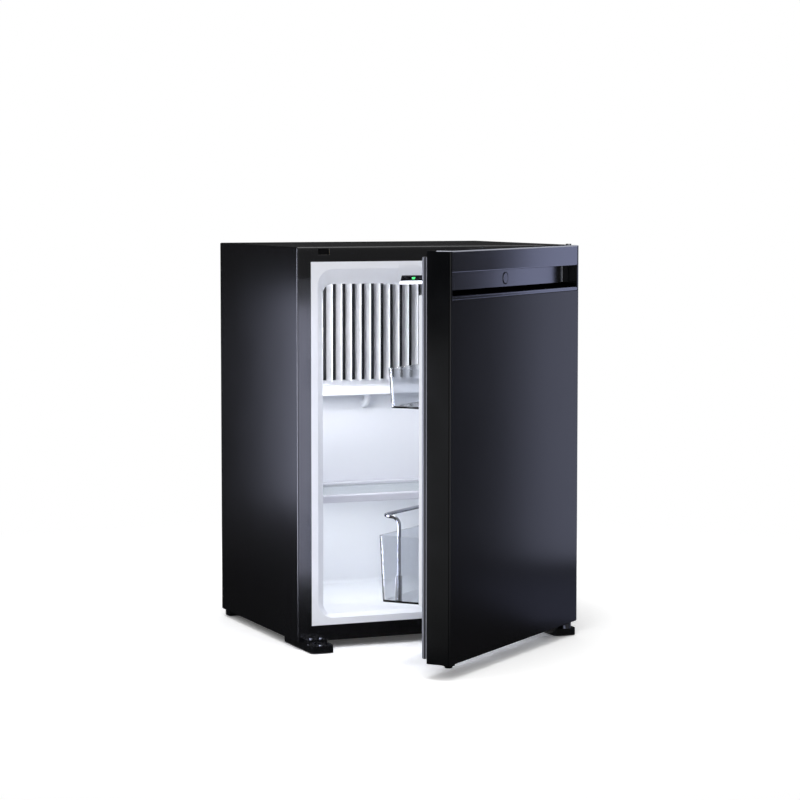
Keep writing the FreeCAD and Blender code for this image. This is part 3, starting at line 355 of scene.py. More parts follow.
NODE_FINISHES: Dict[Finish, str] = {
    POWDER_COAT: "cabinet_shell base_pan",
    DOOR_COAT: "door_panel",
    ANODISED: "handle_trim lock_plug",
    SLOT_BLACK: "hinge_slot_plug",
    FOOT_ABS: "left_front_foot lower_hinge_foot rear_feet",
    BLACK_ABS: "electronics_box power_inlet",
    DOOR_ABS: "door_frame handle_end_caps spare_hinge_bush",
    ZINC: "back_panel back_panel_screws upper_hinge_pin upper_hinge_arm unit_straps"
          " boiler_casing heater_cartridge",
    BLACK_ZINC: "foot_screws lower_hinge_pin",
    STOVE_BLACK: "absorber_vessel absorber_coil gas_heat_exchanger boiler_tube condenser_tube"
                 " condenser_fins evaporator_tube",
    LINER: "inner_liner control_housing drip_channel drain_tube",
    DOOR_LINER: "door_liner",
    FOAM: "cabinet_foam door_foam boiler_insulation",
    FIN: "evaporator_fins evaporator_block",
    GLASS: "shelf_glass",
    GREY_ABS: "shelf_front_trim shelf_rear_trim",
    BLACK_ACRYLIC: "display_strip set_button",
    GREEN_LAMP: "status_light",
    OPAL_LENS: "light_lens",
    BOARD: "control_board",
    SEAL: "door_gasket",
    SMOKE: "upper_bin lower_bin",
    CHROME: "bottle_rail",
    NYLON: "lower_hinge_bush upper_hinge_block",
    SHEATH: "heater_cable module_cable",
}


class Wardrobe:
    """Builds each material once and puts it on nodes and pieces."""

    def __init__(self) -> None:
        """Start with no material built."""
        self._made: Dict[Finish, bpy.types.Material] = {}

    def material(self, finish: Finish) -> bpy.types.Material:
        """Give the material of a finish, building it the first time.

        Args:
            finish: The finish wanted.

        Returns:
            Its material.
        """
        if finish not in self._made:
            self._made[finish] = finish.build()
        return self._made[finish]

    def dress(self, item: bpy.types.Object, finish: Finish) -> None:
        """Put one finish all over an object.

        Args:
            item: CAD node or new piece.
            finish: Its finish.
        """
        item.data.materials.clear()
        item.data.materials.append(self.material(finish))

    def dress_nodes(self) -> None:
        """Dress every CAD node with its finish."""
        for finish, names in NODE_FINISHES.items():
            for name in names.split():
                self.dress(frame["nodes"][name], finish)
                LOG.info("node %s wears %s", name, finish.name)


def pick(item: bpy.types.Object) -> None:
    """Select one object alone and make it active.

    Args:
        item: The object.
    """
    bpy.ops.object.select_all(action="DESELECT")
    item.select_set(True)
    bpy.context.view_layer.objects.active = item


def settle(item: bpy.types.Object, turn: Matrix) -> None:
    """Turn and move an object, and put its place into its mesh.

    Args:
        item: The object.
        turn: Turn and move in the frame of the part.
    """
    bpy.context.view_layer.update()
    item.matrix_world = turn @ item.matrix_world
    pick(item)
    bpy.ops.object.transform_apply(location=True, rotation=True, scale=True)


def edit_faces(item: bpy.types.Object, wanted: Callable[[bpy.types.MeshPolygon], bool]) -> None:
    """Enter edit mode with the wanted faces selected.

    Args:
        item: The object.
        wanted: Test of a face.
    """
    pick(item)
    bpy.ops.object.mode_set(mode="EDIT")
    bpy.ops.mesh.select_mode(type="FACE")
    bpy.ops.mesh.select_all(action="DESELECT")
    bpy.ops.object.mode_set(mode="OBJECT")
    for face in item.data.polygons:
        face.select = wanted(face)
    bpy.ops.object.mode_set(mode="EDIT")


def edit_edges(item: bpy.types.Object, wanted: Callable[[Vector, Vector], bool]) -> None:
    """Enter edit mode with the wanted edges selected.

    Args:
        item: The object.
        wanted: Test of an edge's two ends.
    """
    pick(item)
    bpy.ops.object.mode_set(mode="EDIT")
    bpy.ops.mesh.select_mode(type="EDGE")
    bpy.ops.mesh.select_all(action="DESELECT")
    bpy.ops.object.mode_set(mode="OBJECT")
    points = item.data.vertices
    for edge in item.data.edges:
        edge.select = wanted(*(points[i].co for i in edge.vertices))
    bpy.ops.object.mode_set(mode="EDIT")


def smooth_flat(item: bpy.types.Object) -> None:
    """Smooth the rounded edges of an object and keep its large faces flat.

    Args:
        item: The object.
    """
    pick(item)
    bpy.ops.object.shade_smooth_by_angle(angle=math.radians(SMOOTH_DEG))
    even = item.modifiers.new("even_normals", "WEIGHTED_NORMAL")
    even.weight = FACE_WEIGHT
    even.keep_sharp = True
    bpy.ops.object.modifier_apply(modifier=even.name)


def solid_boxes(node: str) -> List[Tuple[Vector, Vector]]:
    """Boxes of the separate solids of a CAD node.

    Args:
        node: Name of the node.

    Returns:
        Lowest and highest corner of each solid.
    """
    copy = bpy.data.objects.new(node + "_measured", frame["nodes"][node].data.copy())
    bpy.context.scene.collection.objects.link(copy)
    pick(copy)
    bpy.ops.object.mode_set(mode="EDIT")
    bpy.ops.mesh.select_all(action="SELECT")
    bpy.ops.mesh.remove_doubles(threshold=WELD)
    bpy.ops.mesh.separate(type="LOOSE")
    bpy.ops.object.mode_set(mode="OBJECT")
    boxes = []
    for item in list(bpy.context.selected_objects):
        points = [v.co for v in item.data.vertices]
        boxes.append((Vector([min(p[i] for p in points) for i in range(3)]),
                      Vector([max(p[i] for p in points) for i in range(3)])))
        bpy.data.objects.remove(item)
    return sorted(boxes, key=lambda box: tuple(box[0]))


def slot_of(node: str) -> str:
    """Material slot of a CAD node in the record."""
    subparts = frame["record"]["subparts"]
    return next(part["material_slot"] for part in subparts if part["node"] == node)


def join_part(piece: bpy.types.Object, body: str, slot: str, *nodes: str) -> None:
    """Make a finished piece ride on a body.

    Args:
        piece: The piece.
        body: Body that it rides on.
        slot: Material slot of the record; not used.
        nodes: CAD nodes that it stands for.
    """
    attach(piece, body)
    if nodes:
        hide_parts(*nodes)
    LOG.info("piece %s rides on %s", piece.name, body)


class Facing(Enum):
    """Which way a screw's head faces."""

    UP = (0.0, 0.0, 1.0)
    BACK = (0.0, 1.0, 0.0)


@dataclass(frozen=True)
class CrossScrews:
    """Pan-head screws with a cross recess, one for each fastener of a CAD node.

    Attributes:
        node: CAD node with the fasteners.
        name: Name of one screw.
        head_r_mm: Radius of the head.
        head_h_mm: Height of the head.
        facing: Which way the heads face.
        finish: Finish of the screws.
        shank_r_mm: Radius of the shank.
        shank_mm: Length of the shank.
        slot_share: Length of the cross as a share of the head.
        slot_w_share: Width of its arms as a share of the head.
        turn_step: Turn of each screw against the one before, in radians.
        sides: Sides of the head.
        dome_share: Rounding of the head as a share of its height.
        dome_steps: Segments of the rounding.
    """

    node: str
    name: str
    head_r_mm: float
    head_h_mm: float
    facing: Facing
    finish: Finish
    shank_r_mm: float = 1.3
    shank_mm: float = 6.0
    slot_share: float = 1.15
    slot_w_share: float = 0.26
    turn_step: float = 0.6
    sides: int = 32
    dome_share: float = 0.55
    dome_steps: int = 4

    def build(self, wardrobe: Wardrobe) -> None:
        """Model one screw and copy it to each place.

        Args:
            wardrobe: Where the material comes from.
        """
        model = self._model()
        up = Vector(Facing.UP.value)
        turn = up.rotation_difference(Vector(self.facing.value)).to_matrix().to_4x4()
        axis = Z_AXIS if self.facing is Facing.UP else Y_AXIS
        for count, (low, high) in enumerate(solid_boxes(self.node), 1):
            place = (low + high) / 2
            place[axis] = high[axis] - self.head_h_mm * MM
            screw = bpy.data.objects.new("%s_%d" % (self.name, count), model.data.copy())
            bpy.context.scene.collection.objects.link(screw)
            spin = Matrix.Rotation(self.turn_step * count, 4, "Z")
            settle(screw, Matrix.Translation(place) @ turn @ spin)
            wardrobe.dress(screw, self.finish)
            join_part(screw, "cabinet", slot_of(self.node), self.node)
        bpy.data.objects.remove(model)

    def _model(self) -> bpy.types.Object:
        """Shape one screw at the origin with its head upwards.

        Returns:
            The screw.
        """
        radius, height = self.head_r_mm * MM, self.head_h_mm * MM
        bpy.ops.object.select_all(action="DESELECT")
        bpy.ops.mesh.primitive_cylinder_add(
            vertices=self.sides, radius=radius, depth=height, location=(0.0, 0.0, height / 2))
        screw = bpy.context.object
        settle(screw, Matrix.Identity(4))
        edit_faces(screw, lambda face: face.normal.z < -MOSTLY)
        bpy.ops.mesh.inset(thickness=radius - self.shank_r_mm * MM)
        bpy.ops.mesh.extrude_region_move(
            TRANSFORM_OT_translate={"value": (0.0, 0.0, -self.shank_mm * MM)})
        bpy.ops.object.mode_set(mode="OBJECT")
        edit_edges(screw, lambda a, b: min(a.z, b.z) > height * NEARLY)
        bpy.ops.mesh.bevel(offset=height * self.dome_share, segments=self.dome_steps,
                           affect="EDGES")
        bpy.ops.object.mode_set(mode="OBJECT")
        for quarter in (0.0, math.pi / 2):
            bpy.ops.object.select_all(action="DESELECT")
            bpy.ops.mesh.primitive_cube_add(
                size=1.0, location=(0.0, 0.0, height), rotation=(0.0, 0.0, quarter),
                scale=(radius * self.slot_share, radius * self.slot_w_share, height))
            cutter = bpy.context.object
            cross = screw.modifiers.new("cross_recess", "BOOLEAN")
            cross.operation = "DIFFERENCE"
            cross.object = cutter
            pick(screw)
            bpy.ops.object.modifier_apply(modifier=cross.name)
            bpy.data.objects.remove(cutter)
        smooth_flat(screw)
        return screw


@dataclass(frozen=True)
class HandleDetails:
    """Small lines in the recess: a painted highlight at its end, painted shade in the lock's
    groove.

    Attributes:
        edge_x: Place of the edge across the closed door.
        wall_y: Back wall of the recess on the closed door.
        edge_low: Lower end of the edge.
        edge_high: Upper end of the edge.
        edge_w: Width of the edge.
        edge_proud: How far the edge stands out.
        edge_round: Rounding of its front corners as a share of its width.
        edge_steps: Segments of the rounding.
        groove_r: Middle radius of the groove.
        groove_half: Half width of the groove.
        groove_z: Height of its middle.
        groove_y: Face that the groove lies in, on the closed door.
        groove_flat: Depth of the ring as a share of its width.
        ring_steps: Segments round the ring.
        ring_sides: Sides of its section.
        ring_smooth_deg: Edges of the ring that turn less than this are shaded smooth.
    """

    edge_x: float = 0.1795
    wall_y: float = -0.204
    edge_low: float = 0.4880
    edge_high: float = 0.5105
    edge_w: float = 0.0014
    edge_proud: float = 0.0012
    edge_round: float = 0.35
    edge_steps: int = 3
    groove_r: float = 0.0074
    groove_half: float = 0.00045
    groove_z: float = 0.4985
    groove_y: float = -0.2043
    groove_flat: float = 0.5
    ring_steps: int = 64
    ring_sides: int = 8
    ring_smooth_deg: float = 60.0

    def build(self, wardrobe: Wardrobe) -> None:
        """Model both pieces on the closed door and turn them open.

        Args:
            wardrobe: Where the materials come from.
        """
        # A pale strip as painted highlight and a dark ring as painted shade, both on the door.
        pieces = ((self._edge(), END_STRIP_HIGHLIGHT, "handle_black"),
                  (self._groove(), GROOVE_SHADE, "plastic_black"))
        for piece, finish, slot in pieces:
            settle(piece, DOOR_TURN)
            wardrobe.dress(piece, finish)
            join_part(piece, "door", slot)

    def _edge(self) -> bpy.types.Object:
        """Upright strip with rounded front corners, a painted highlight.

        Returns:
            The piece on the closed door.
        """
        bpy.ops.object.select_all(action="DESELECT")
        middle_z = (self.edge_low + self.edge_high) / 2
        bpy.ops.mesh.primitive_cube_add(
            size=1.0, location=(self.edge_x, self.wall_y - self.edge_proud / 2, middle_z),
            scale=(self.edge_w, self.edge_proud, self.edge_high - self.edge_low))
        edge = bpy.context.object
        edge.name = "recess_end_highlight"
        settle(edge, Matrix.Identity(4))
        front, half_w = self.wall_y - self.edge_proud * MOSTLY, self.edge_w / 2
        edit_edges(edge, lambda a, b: max(a.y, b.y) < front and abs(a.x - b.x) < half_w)
        bpy.ops.mesh.bevel(offset=self.edge_w * self.edge_round, segments=self.edge_steps,
                           affect="EDGES")
        bpy.ops.object.mode_set(mode="OBJECT")
        smooth_flat(edge)
        return edge

    def _groove(self) -> bpy.types.Object:
        """Flat dark ring that lies in the groove, as painted shade.

        Returns:
            The piece on the closed door.
        """
        bpy.ops.object.select_all(action="DESELECT")
        middle = (0.0, self.groove_y, self.groove_z)
        bpy.ops.mesh.primitive_torus_add(
            location=middle, rotation=(math.pi / 2, 0.0, 0.0), major_segments=self.ring_steps,
            minor_segments=self.ring_sides, major_radius=self.groove_r,
            minor_radius=self.groove_half)
        ring = bpy.context.object
        ring.name = "lock_groove_shade"
        settle(ring, Matrix.Identity(4))
        bpy.ops.object.mode_set(mode="EDIT")
        bpy.ops.mesh.select_all(action="SELECT")
        bpy.ops.transform.resize(value=(1.0, self.groove_flat, 1.0), center_override=middle)
        bpy.ops.object.mode_set(mode="OBJECT")
        bpy.ops.object.shade_smooth_by_angle(angle=math.radians(self.ring_smooth_deg))
        return ring


@dataclass(frozen=True)
class Accent:
    """Another finish on some faces of a piece.

    Attributes:
        finish: The finish.
        covers: Test of a face's middle and normal on the closed door.
    """

    finish: Finish
    covers: Callable[[Vector, Vector], bool]

    def lay(self, piece: bpy.types.Object, wardrobe: Wardrobe) -> None:
        """Put the finish on the faces that it covers.

        Args:
            piece: The piece, with its first finish on.
            wardrobe: Where the material comes from.
        """
        piece.data.materials.append(wardrobe.material(self.finish))
        for face in piece.data.polygons:
            if self.covers(DOOR_SHUT @ face.center, DOOR_SHUT.to_3x3() @ face.normal):
                face.material_index = len(piece.data.materials) - 1


@dataclass(frozen=True)
class EasedNode:
    """A CAD node whose sharp edges are eased, as on the moulded or folded real piece.

    Attributes:
        node: CAD node that the copy stands for.
        body: Body that it rides on.
        width_mm: Width of the eased edge.
        finish: Its finish.
        steps: Segments across the edge.
        sharp_deg: Edges turned more than this are eased.
        only: Test of an edge's two ends on the closed door. Without it all sharp edges are eased.
        accents: Other finishes on some of its faces.
    """

    node: str
    body: str
    width_mm: float
    finish: Finish
    steps: int = 2
    sharp_deg: float = 40.0
    only: Optional[Callable[[Vector, Vector], bool]] = None
    accents: Tuple[Accent, ...] = ()

    def build(self, wardrobe: Wardrobe) -> None:
        """Copy the node, ease its edges and dress it.

        Args:
            wardrobe: Where its material comes from.
        """
        source = frame["nodes"][self.node]
        piece = bpy.data.objects.new(self.node + "_eased", source.data.copy())
        bpy.context.scene.collection.objects.link(piece)
        pick(piece)
        bpy.ops.object.mode_set(mode="EDIT")
        bpy.ops.mesh.select_all(action="SELECT")
        bpy.ops.mesh.remove_doubles(threshold=WELD)
        bpy.ops.mesh.dissolve_limited(angle_limit=math.radians(FLAT_DEG))
        bpy.ops.object.mode_set(mode="OBJECT")
        if self.only is not None:
            edit_edges(piece, lambda a, b: self.only(DOOR_SHUT @ a, DOOR_SHUT @ b))
            bpy.ops.mesh.bevel(offset=self.width_mm * MM, segments=self.steps, affect="EDGES",
                               clamp_overlap=True)
            bpy.ops.object.mode_set(mode="OBJECT")
        else:
            edge = piece.modifiers.new("eased_edge", "BEVEL")
            edge.width = self.width_mm * MM
            edge.segments = self.steps
            edge.limit_method = "ANGLE"
            edge.angle_limit = math.radians(self.sharp_deg)
            edge.use_clamp_overlap = True
            bpy.ops.object.modifier_apply(modifier=edge.name)
        smooth_flat(piece)
        wardrobe.dress(piece, self.finish)
        for accent in self.accents:
            accent.lay(piece, wardrobe)
        join_part(piece, self.body, slot_of(self.node), self.node)


# Places on the closed door, in metres, and slopes that tell the faces of its top strip apart.
TRIM_FRONT_Y = -0.2219
LONG_EDGE = 0.1
DOOR_TOP_Z = 0.5379
TOP_EDGE_Z = 0.5360
TOP_EDGE_RISE = 0.05
FLOOR_LOW_Z, FLOOR_HIGH_Z = 0.4812, 0.4879
FLOOR_FRONT_Y = -0.2190
FLOOR_RISE = 0.5


def trim_front(a: Vector, b: Vector) -> bool:
    """True for the long front edges of the handle trim."""
    return max(a.y, b.y) < TRIM_FRONT_Y and abs(a.x - b.x) > LONG_EDGE


def cap_top(a: Vector, b: Vector) -> bool:
    """True for the top edges of the end caps."""
    return min(a.z, b.z) > DOOR_TOP_Z


def top_face(middle: Vector, normal: Vector) -> bool:
    """True for the flat top of the door."""
    return middle.z > DOOR_TOP_Z and normal.z > NEARLY


def top_edge(middle: Vector, normal: Vector) -> bool:
    """True for the rounded top edge of the door."""
    return middle.z > TOP_EDGE_Z and TOP_EDGE_RISE < normal.z < NEARLY


def recess_floor(middle: Vector, normal: Vector) -> bool:
    """True for the sloping floor of the finger recess."""
    behind_front = FLOOR_LOW_Z < middle.z < FLOOR_HIGH_Z and middle.y > FLOOR_FRONT_Y
    return behind_front and normal.z > FLOOR_RISE


# Painted shade on the flat top of the door, and a painted highlight on its rounded top edge.
DOOR_TOP: Tuple[Accent, ...] = (Accent(SHADE_BLACK, top_face), Accent(TOP_EDGE_HIGHLIGHT, top_edge))

EASED_NODES: List[EasedNode] = [
    EasedNode("left_front_foot", "cabinet", 1.1, FOOT_ABS, 3),
    EasedNode("lower_hinge_foot", "cabinet", 1.1, FOOT_ABS, 3),
    EasedNode("rear_feet", "cabinet", 1.1, FOOT_ABS, 3),
    # The floor of its finger recess is painted shade.
    EasedNode("handle_trim", "door", 1.6, ANODISED, 4, only=trim_front,
              accents=DOOR_TOP + (Accent(SHADE_BLACK, recess_floor),)),
    EasedNode("handle_end_caps", "door", 1.0, DOOR_ABS, 3, only=cap_top, accents=DOOR_TOP),
    EasedNode("lock_plug", "door", 0.2, ANODISED),
    EasedNode("door_frame", "door", 0.5, DOOR_ABS),
    EasedNode("door_liner", "door", 2.0, DOOR_LINER, 3),
    EasedNode("door_gasket", "door", 0.6, SEAL),
    EasedNode("cabinet_shell", "cabinet", 0.4, POWDER_COAT),
    EasedNode("control_housing", "cabinet", 0.7, LINER),
    EasedNode("shelf_glass", "cabinet", 0.5, GLASS),
    EasedNode("electronics_box", "cabinet", 0.8, BLACK_ABS),
    EasedNode("power_inlet", "cabinet", 0.5, BLACK_ABS),
    EasedNode("drip_channel", "cabinet", 0.6, LINER),
    EasedNode("evaporator_fins", "cabinet", 0.3, FIN),
    EasedNode("unit_straps", "cabinet", 0.4, ZINC),
    EasedNode("upper_hinge_arm", "cabinet", 0.4, ZINC),
    EasedNode("boiler_casing", "cabinet", 0.8, ZINC),
    EasedNode("upper_bin", "upper_bin", 0.5, SMOKE),
    EasedNode("lower_bin", "lower_bin", 0.5, SMOKE),
]

SCREWS: List[CrossScrews] = [
    CrossScrews("foot_screws", "foot_screw", 2.4, 1.2, Facing.UP, BLACK_ZINC),
    CrossScrews("back_panel_screws", "panel_screw", 3.4, 1.6, Facing.BACK, ZINC),
]


@dataclass(frozen=True)
class Camera:
    """Camera at the photograph's place, turned down a little and without lens shift.

    Attributes:
        place: Place in metres.
        heading_deg: Turn to the right of straight ahead.
        fall_deg: Turn below the level.
        focal_px: Focal length in pixels of the photograph.
        frame_px: Width of the photograph in pixels.
        sensor_mm: Width of the sensor.
        far: Distance in metres up to which things are seen.
    """

    place: Point = (-1.40274, -3.38810, 0.61168)
    heading_deg: float = 22.8054
    fall_deg: float = 4.6132
    focal_px: float = 2589.6
    frame_px: float = 800.0
    sensor_mm: float = 36.0
    far: float = 50.0

    def build(self) -> None:
        """Make the camera and give it to the scene."""
        data = bpy.data.cameras.new("view_camera")
        data.sensor_width = self.sensor_mm
        data.lens = self.focal_px / self.frame_px * self.sensor_mm
        data.clip_end = self.far
        camera = bpy.data.objects.new("view_camera", data)
        bpy.context.scene.collection.objects.link(camera)
        camera.location = self.place
        camera.rotation_euler = (
            math.radians(90.0 - self.fall_deg), 0.0, -math.radians(self.heading_deg))
        bpy.context.scene.camera = camera


@dataclass(frozen=True)
class Softbox:
    """A rectangular lamp.

    Attributes:
        name: Name of the lamp.
        place: Centre in metres.
        aim: Point it faces.
        size: Width and height in metres.
        radiance: Brightness of its face, where one is white.
        colour: sRGB hex colour of its light.
        sheen_only: True for a lamp that only shows as a reflection.
    """

    name: str
    place: Point
    aim: Point
    size: Tuple[float, float]
    radiance: float
    colour: str = "#FFFFFF"
    sheen_only: bool = False

    def build(self) -> None:
        """Make the lamp."""
        data = bpy.data.lights.new(self.name, "AREA")
        data.shape = "RECTANGLE"
        data.size, data.size_y = self.size
        data.color = linear(self.colour)[:3]
        data.energy = self.radiance * math.pi * self.size[0] * self.size[1]
        lamp = bpy.data.objects.new(self.name, data)
        bpy.context.scene.collection.objects.link(lamp)
        lamp.location = self.place
        aim = Vector(self.aim) - Vector(self.place)
        lamp.rotation_euler = aim.to_track_quat("-Z", "Y").to_euler()
        lamp.visible_camera = False
        lamp.visible_diffuse = not self.sheen_only


@dataclass(frozen=True)
class Flag:
    """A dark or bright studio card that only shows in reflections.

    Attributes:
        name: Name of the card.
        low: Lowest corner in metres.
        high: Highest corner in metres.
        level: How bright the card looks, where one is white.
        tint: sRGB hex colour of the card.
        board: Thickness of the card in metres.
    """

    name: str
    low: Point
    high: Point
    level: float
    tint: str = "#FFFFFF"
    board: float = 0.002

    def build(self) -> None:
        """Make the card, hidden from the camera, from diffuse light and from shadows."""
        bpy.ops.object.select_all(action="DESELECT")
        bpy.ops.mesh.primitive_cube_add(
            size=1.0, location=tuple((a + b) / 2 for a, b in zip(self.low, self.high)),
            scale=tuple(max(b - a, self.board) for a, b in zip(self.low, self.high)))
        card = bpy.context.object
        card.name = self.name
        material = bpy.data.materials.new(self.name)
        material.use_nodes = True
        tree = material.node_tree
        tree.nodes.clear()
        glow = add_node(tree, "ShaderNodeEmission", {
            "Color": linear(self.tint), "Strength": self.level})
        add_node(tree, "ShaderNodeOutputMaterial", {"Surface": glow.outputs[0]})
        material.cycles.emission_sampling = "NONE"
        card.data.materials.append(material)
        card.visible_camera = False
        card.visible_diffuse = False
        card.visible_shadow = False
        card.visible_transmission = False


LAMPS: Tuple[Softbox, ...] = (
    Softbox("overhead_softbox", (-0.2, -0.3, 2.4), (0.0, -0.1, 0.3), (1.6, 1.4), 3.4),
    Softbox("front_softbox", (-1.7, -2.4, 1.7), (0.0, -0.2, 0.3), (1.5, 1.5), 2.6),
    # Glow on the cabinet's left side.
    Softbox("left_softbox", (-0.46, 0.30, 0.29), (0.0, 0.30, 0.29), (0.36, 0.34), 2.2,
            "#DDE2FF", True),
    # Glow on the face of the open door.
    Softbox("right_softbox", (0.52, 0.015, 0.385), (0.0, -0.105, 0.385), (0.44, 0.67), 0.78,
            "#D6DCFF", True),
    # Glow on the left strip of the front frame.
    Softbox("gap_softbox", (-0.135, -0.33, 0.265), (-0.195, -0.178, 0.265), (0.05, 0.38), 5.0,
            "#DFE2FF", True),
    # Bright line along the shell's front edge.
    Softbox("shell_edge_softbox", (-0.60, -0.20, 0.27), (-0.20, -0.18, 0.27), (0.22, 0.50), 24.0,
            "#E4E8FF", True),
)

CARDS: Tuple[Flag, ...] = (
    # Seen in the cabinet's left side.
    Flag("left_card", (-0.62, -0.3, 0.0), (-0.62, 2.4, 1.4), 0.03),
    Flag("left_floor_card", (-0.62, -0.3, 0.0), (-0.15, 2.4, 0.0), 0.02),
    # Seen in the side of the open door.
    Flag("left_front_low_card", (-0.62, -1.8, 0.0), (-0.62, -0.3, 0.40), 0.32),
    Flag("left_front_high_card", (-0.62, -1.8, 0.40), (-0.62, -0.3, 1.6), 0.01),
    Flag("left_front_floor_card", (-0.62, -1.6, 0.0), (-0.30, -0.3, 0.0), 0.16),
    # Seen in the face of the open door.
    Flag("right_card", (0.72, -0.9, 0.0), (0.72, 1.4, 1.4), 0.03),
    Flag("right_floor_card", (0.215, -0.25, 0.0), (0.72, 1.4, 0.0), 0.26, "#CFD5FF"),
    Flag("right_front_floor_card", (0.30, -0.9, 0.0), (0.72, -0.25, 0.0), 0.03),
    # Seen in the eased top front edge of the cabinet.
    Flag("overhead_front_card", (0.2, -1.4, 1.9), (1.1, -0.6, 1.9), 5.0),
    # Seen in the top of the front frame. It fits inside the closed door.
    Flag("gap_top_card", (-0.195, -0.193, 0.495), (0.05, -0.193, 0.536), 0.24),
    # Seen in the front frame and the feet.
    Flag("front_floor_card", (-0.30, -1.6, 0.0), (0.30, -0.19, 0.0), 0.03),
    # Seen in the rear of the left side and in the back.
    Flag("rear_card", (-0.62, 0.7, 0.0), (0.72, 0.7, 1.4), 0.035),
)


@dataclass(frozen=True)
class Studio:
    """Pale floor, white surround, lamps and cards.

    Attributes:
        floor_half: Half width of the floor in metres.
        floor_drop: How far the floor lies below the feet.
        floor_albedo: Share of the light that the floor throws back.
        floor_seen: The same as the camera sees it.
        floor_glow: Own light of the floor near the object.
        floor_near: Distance at which the floor begins to fade into the surround.
        floor_far: Distance at which it is all surround.
        ambient: Level of the surround as light.
        lamps: The lamps.
        cards: The cards.
    """

    floor_half: float = 12.0
    floor_drop: float = 0.0005
    floor_albedo: float = 0.9
    floor_seen: float = 1.25
    floor_glow: float = 0.05
    floor_near: float = 0.50
    floor_far: float = 1.15
    ambient: float = 0.7
    lamps: Tuple[Softbox, ...] = LAMPS
    cards: Tuple[Flag, ...] = CARDS

    def build(self) -> None:
        """Make floor, surround, lamps and cards."""
        scene = bpy.context.scene
        scene.view_settings.view_transform = "Standard"
        self._surround(scene)
        self._floor()
        for lamp in self.lamps:
            lamp.build()
        for card in self.cards:
            card.build()

    @staticmethod
    def _seen(tree: bpy.types.NodeTree) -> bpy.types.NodeSocket:
        """One for rays that see the background directly, in a mirror or through glass.

        Args:
            tree: Node tree that gets the nodes.

        Returns:
            The socket with the mask.
        """
        path = add_node(tree, "ShaderNodeLightPath")
        both = add_node(tree, "ShaderNodeMath", {
            0: path.outputs["Is Camera Ray"], 1: path.outputs["Is Glossy Ray"]},
            operation="MAXIMUM")
        return add_node(tree, "ShaderNodeMath", {
            0: both.outputs[0], 1: path.outputs["Is Transmission Ray"]},
            operation="MAXIMUM").outputs[0]

    def _white(self, tree: bpy.types.NodeTree) -> bpy.types.NodeSocket:
        """Level of the surround: white where it is seen, softer as light.

        Args:
            tree: Node tree that gets the nodes.

        Returns:
            The socket with the level.
        """
        return add_node(tree, "ShaderNodeMapRange", {
            "Value": self._seen(tree), "To Min": self.ambient, "To Max": 1.0}).outputs[0]

    def _surround(self, scene: bpy.types.Scene) -> None:
        """White surround for the eye, softer light for the object.

        Args:
            scene: The scene that gets the world.
        """
        world = bpy.data.worlds.new("white_surround")
        scene.world = world
        world.use_nodes = True
        tree = world.node_tree
        tree.nodes.clear()
        glow = add_node(tree, "ShaderNodeBackground", {
            "Color": (1.0, 1.0, 1.0, 1.0), "Strength": self._white(tree)})
        add_node(tree, "ShaderNodeOutputWorld", {"Surface": glow.outputs[0]})
        world.cycles.sampling_method = "NONE"

    def _floor(self) -> None:
        """Pale floor that fades into the surround and keeps the shadow."""
        bpy.ops.object.select_all(action="DESELECT")
        bpy.ops.mesh.primitive_plane_add(
            size=2 * self.floor_half, location=(0.0, 0.0, -self.floor_drop))
        floor = bpy.context.object
        floor.name = "studio_floor"
        material = bpy.data.materials.new("pale_studio_floor")
        material.use_nodes = True
        tree = material.node_tree
        tree.nodes.clear()
        eye = add_node(tree, "ShaderNodeLightPath").outputs["Is Camera Ray"]
        tone = add_node(tree, "ShaderNodeMapRange", {
            "Value": eye, "To Min": self.floor_albedo, "To Max": self.floor_seen})
        matt = add_node(tree, "ShaderNodeBsdfDiffuse", {"Color": tone.outputs[0]})
        level = add_node(tree, "ShaderNodeMath", {0: self._seen(tree), 1: self.floor_glow},
                         operation="MULTIPLY")
        glow = add_node(tree, "ShaderNodeEmission", {"Strength": level.outputs[0]})
        near = add_node(tree, "ShaderNodeAddShader", {0: matt.outputs[0], 1: glow.outputs[0]})
        far = add_node(tree, "ShaderNodeEmission", {"Strength": self._white(tree)})
        place = add_node(tree, "ShaderNodeTexCoord").outputs["Object"]
        reach = add_node(tree, "ShaderNodeVectorMath", {0: place}, operation="LENGTH")
        fade = add_node(tree, "ShaderNodeMapRange", {
            "Value": reach.outputs["Value"], "From Min": self.floor_near,
            "From Max": self.floor_far}, interpolation_type="SMOOTHSTEP")
        both = add_node(tree, "ShaderNodeMixShader", {
            0: fade.outputs[0], 1: near.outputs[0], 2: far.outputs[0]})
        add_node(tree, "ShaderNodeOutputMaterial", {"Surface": both.outputs[0]})
        material.cycles.emission_sampling = "NONE"
        floor.data.materials.append(material)


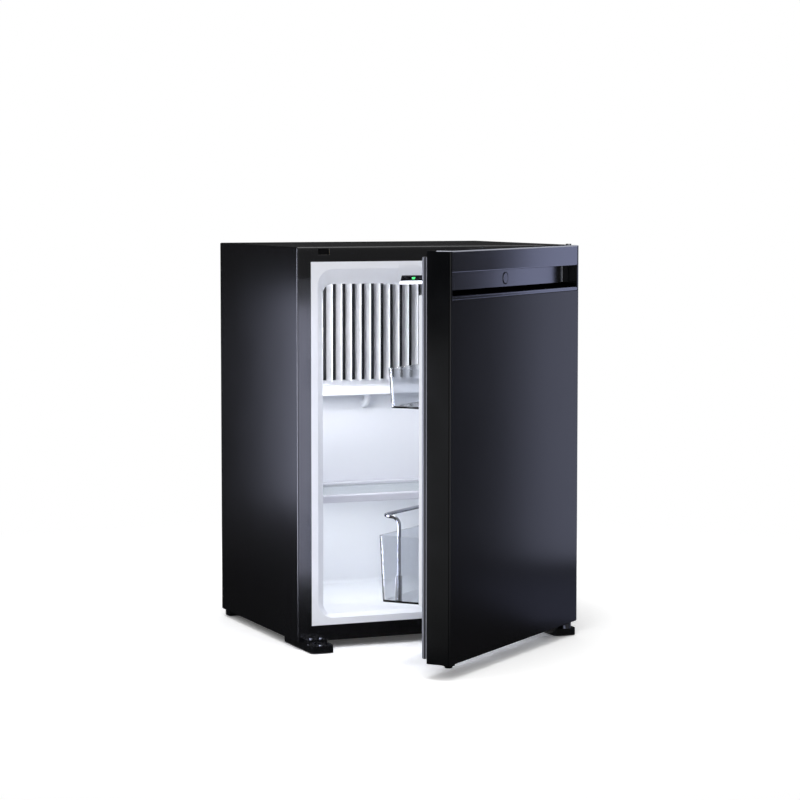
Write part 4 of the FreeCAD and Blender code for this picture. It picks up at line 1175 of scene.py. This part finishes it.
@dataclass(frozen=True)
class CavityLight:
    """Light inside the cavity: what the opal lens throws, and what the white walls throw back.

    Attributes:
        lens_in: How far the lamp sits behind the front of the lens.
        lens_drop: How far it sits below the lens.
        lens_throw: How far back and down it aims.
        lens_size: Width and depth of the lamp.
        lens_radiance: Its brightness.
        fins_left: How far the fill for the fins sits left of them.
        fins_ahead: How far it sits in front of them.
        fins_size: Width and height of that fill.
        fins_radiance: Its brightness.
        shelf_in: How far the fill for the lower room sits behind the front of the shelf.
        shelf_drop: How far it sits below the shelf.
        shelf_size: Width and depth of that fill.
        shelf_radiance: Its brightness.
        aside: Where the fills aim, as a share of the way from the middle to the left end.
    """

    lens_in: float = 0.012
    lens_drop: float = 0.004
    lens_throw: Tuple[float, float] = (0.10, 0.30)
    lens_size: Tuple[float, float] = (0.09, 0.02)
    lens_radiance: float = 42.0
    fins_left: float = 0.035
    fins_ahead: float = 0.12
    fins_size: Tuple[float, float] = (0.06, 0.14)
    fins_radiance: float = 14.0
    shelf_in: float = 0.06
    shelf_drop: float = 0.012
    shelf_size: Tuple[float, float] = (0.20, 0.10)
    shelf_radiance: float = 2.2
    aside: float = 0.3

    def build(self) -> None:
        """Make the lamp below the lens and two soft fills."""
        low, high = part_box("light_lens")
        lens = ((low.x + high.x) / 2, low.y + self.lens_in, low.z - self.lens_drop)
        back, down = self.lens_throw
        Softbox("cavity_lamp", lens, (lens[0], lens[1] + back, lens[2] - down), self.lens_size,
                self.lens_radiance).build()
        low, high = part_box("evaporator_fins")
        middle_z = (low.z + high.z) / 2
        Softbox("fins_fill", (low.x - self.fins_left, low.y - self.fins_ahead, middle_z),
                (low.x * self.aside, high.y, middle_z), self.fins_size, self.fins_radiance).build()
        low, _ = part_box("shelf_glass")
        x, y = low.x * self.aside, low.y + self.shelf_in
        Softbox("lower_fill", (x, y, low.z - self.shelf_drop), (x, y, 0.0), self.shelf_size,
                self.shelf_radiance).build()


def main() -> None:
    """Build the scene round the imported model."""
    logging.basicConfig(level=logging.INFO, format="%(name)s: %(message)s")
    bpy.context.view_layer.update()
    wardrobe = Wardrobe()
    wardrobe.dress_nodes()
    for eased in EASED_NODES:
        eased.build(wardrobe)
    for screws in SCREWS:
        screws.build(wardrobe)
    HandleDetails().build(wardrobe)
    Camera().build()
    Studio().build()
    CavityLight().build()


if __name__ == "__main__":
    main()
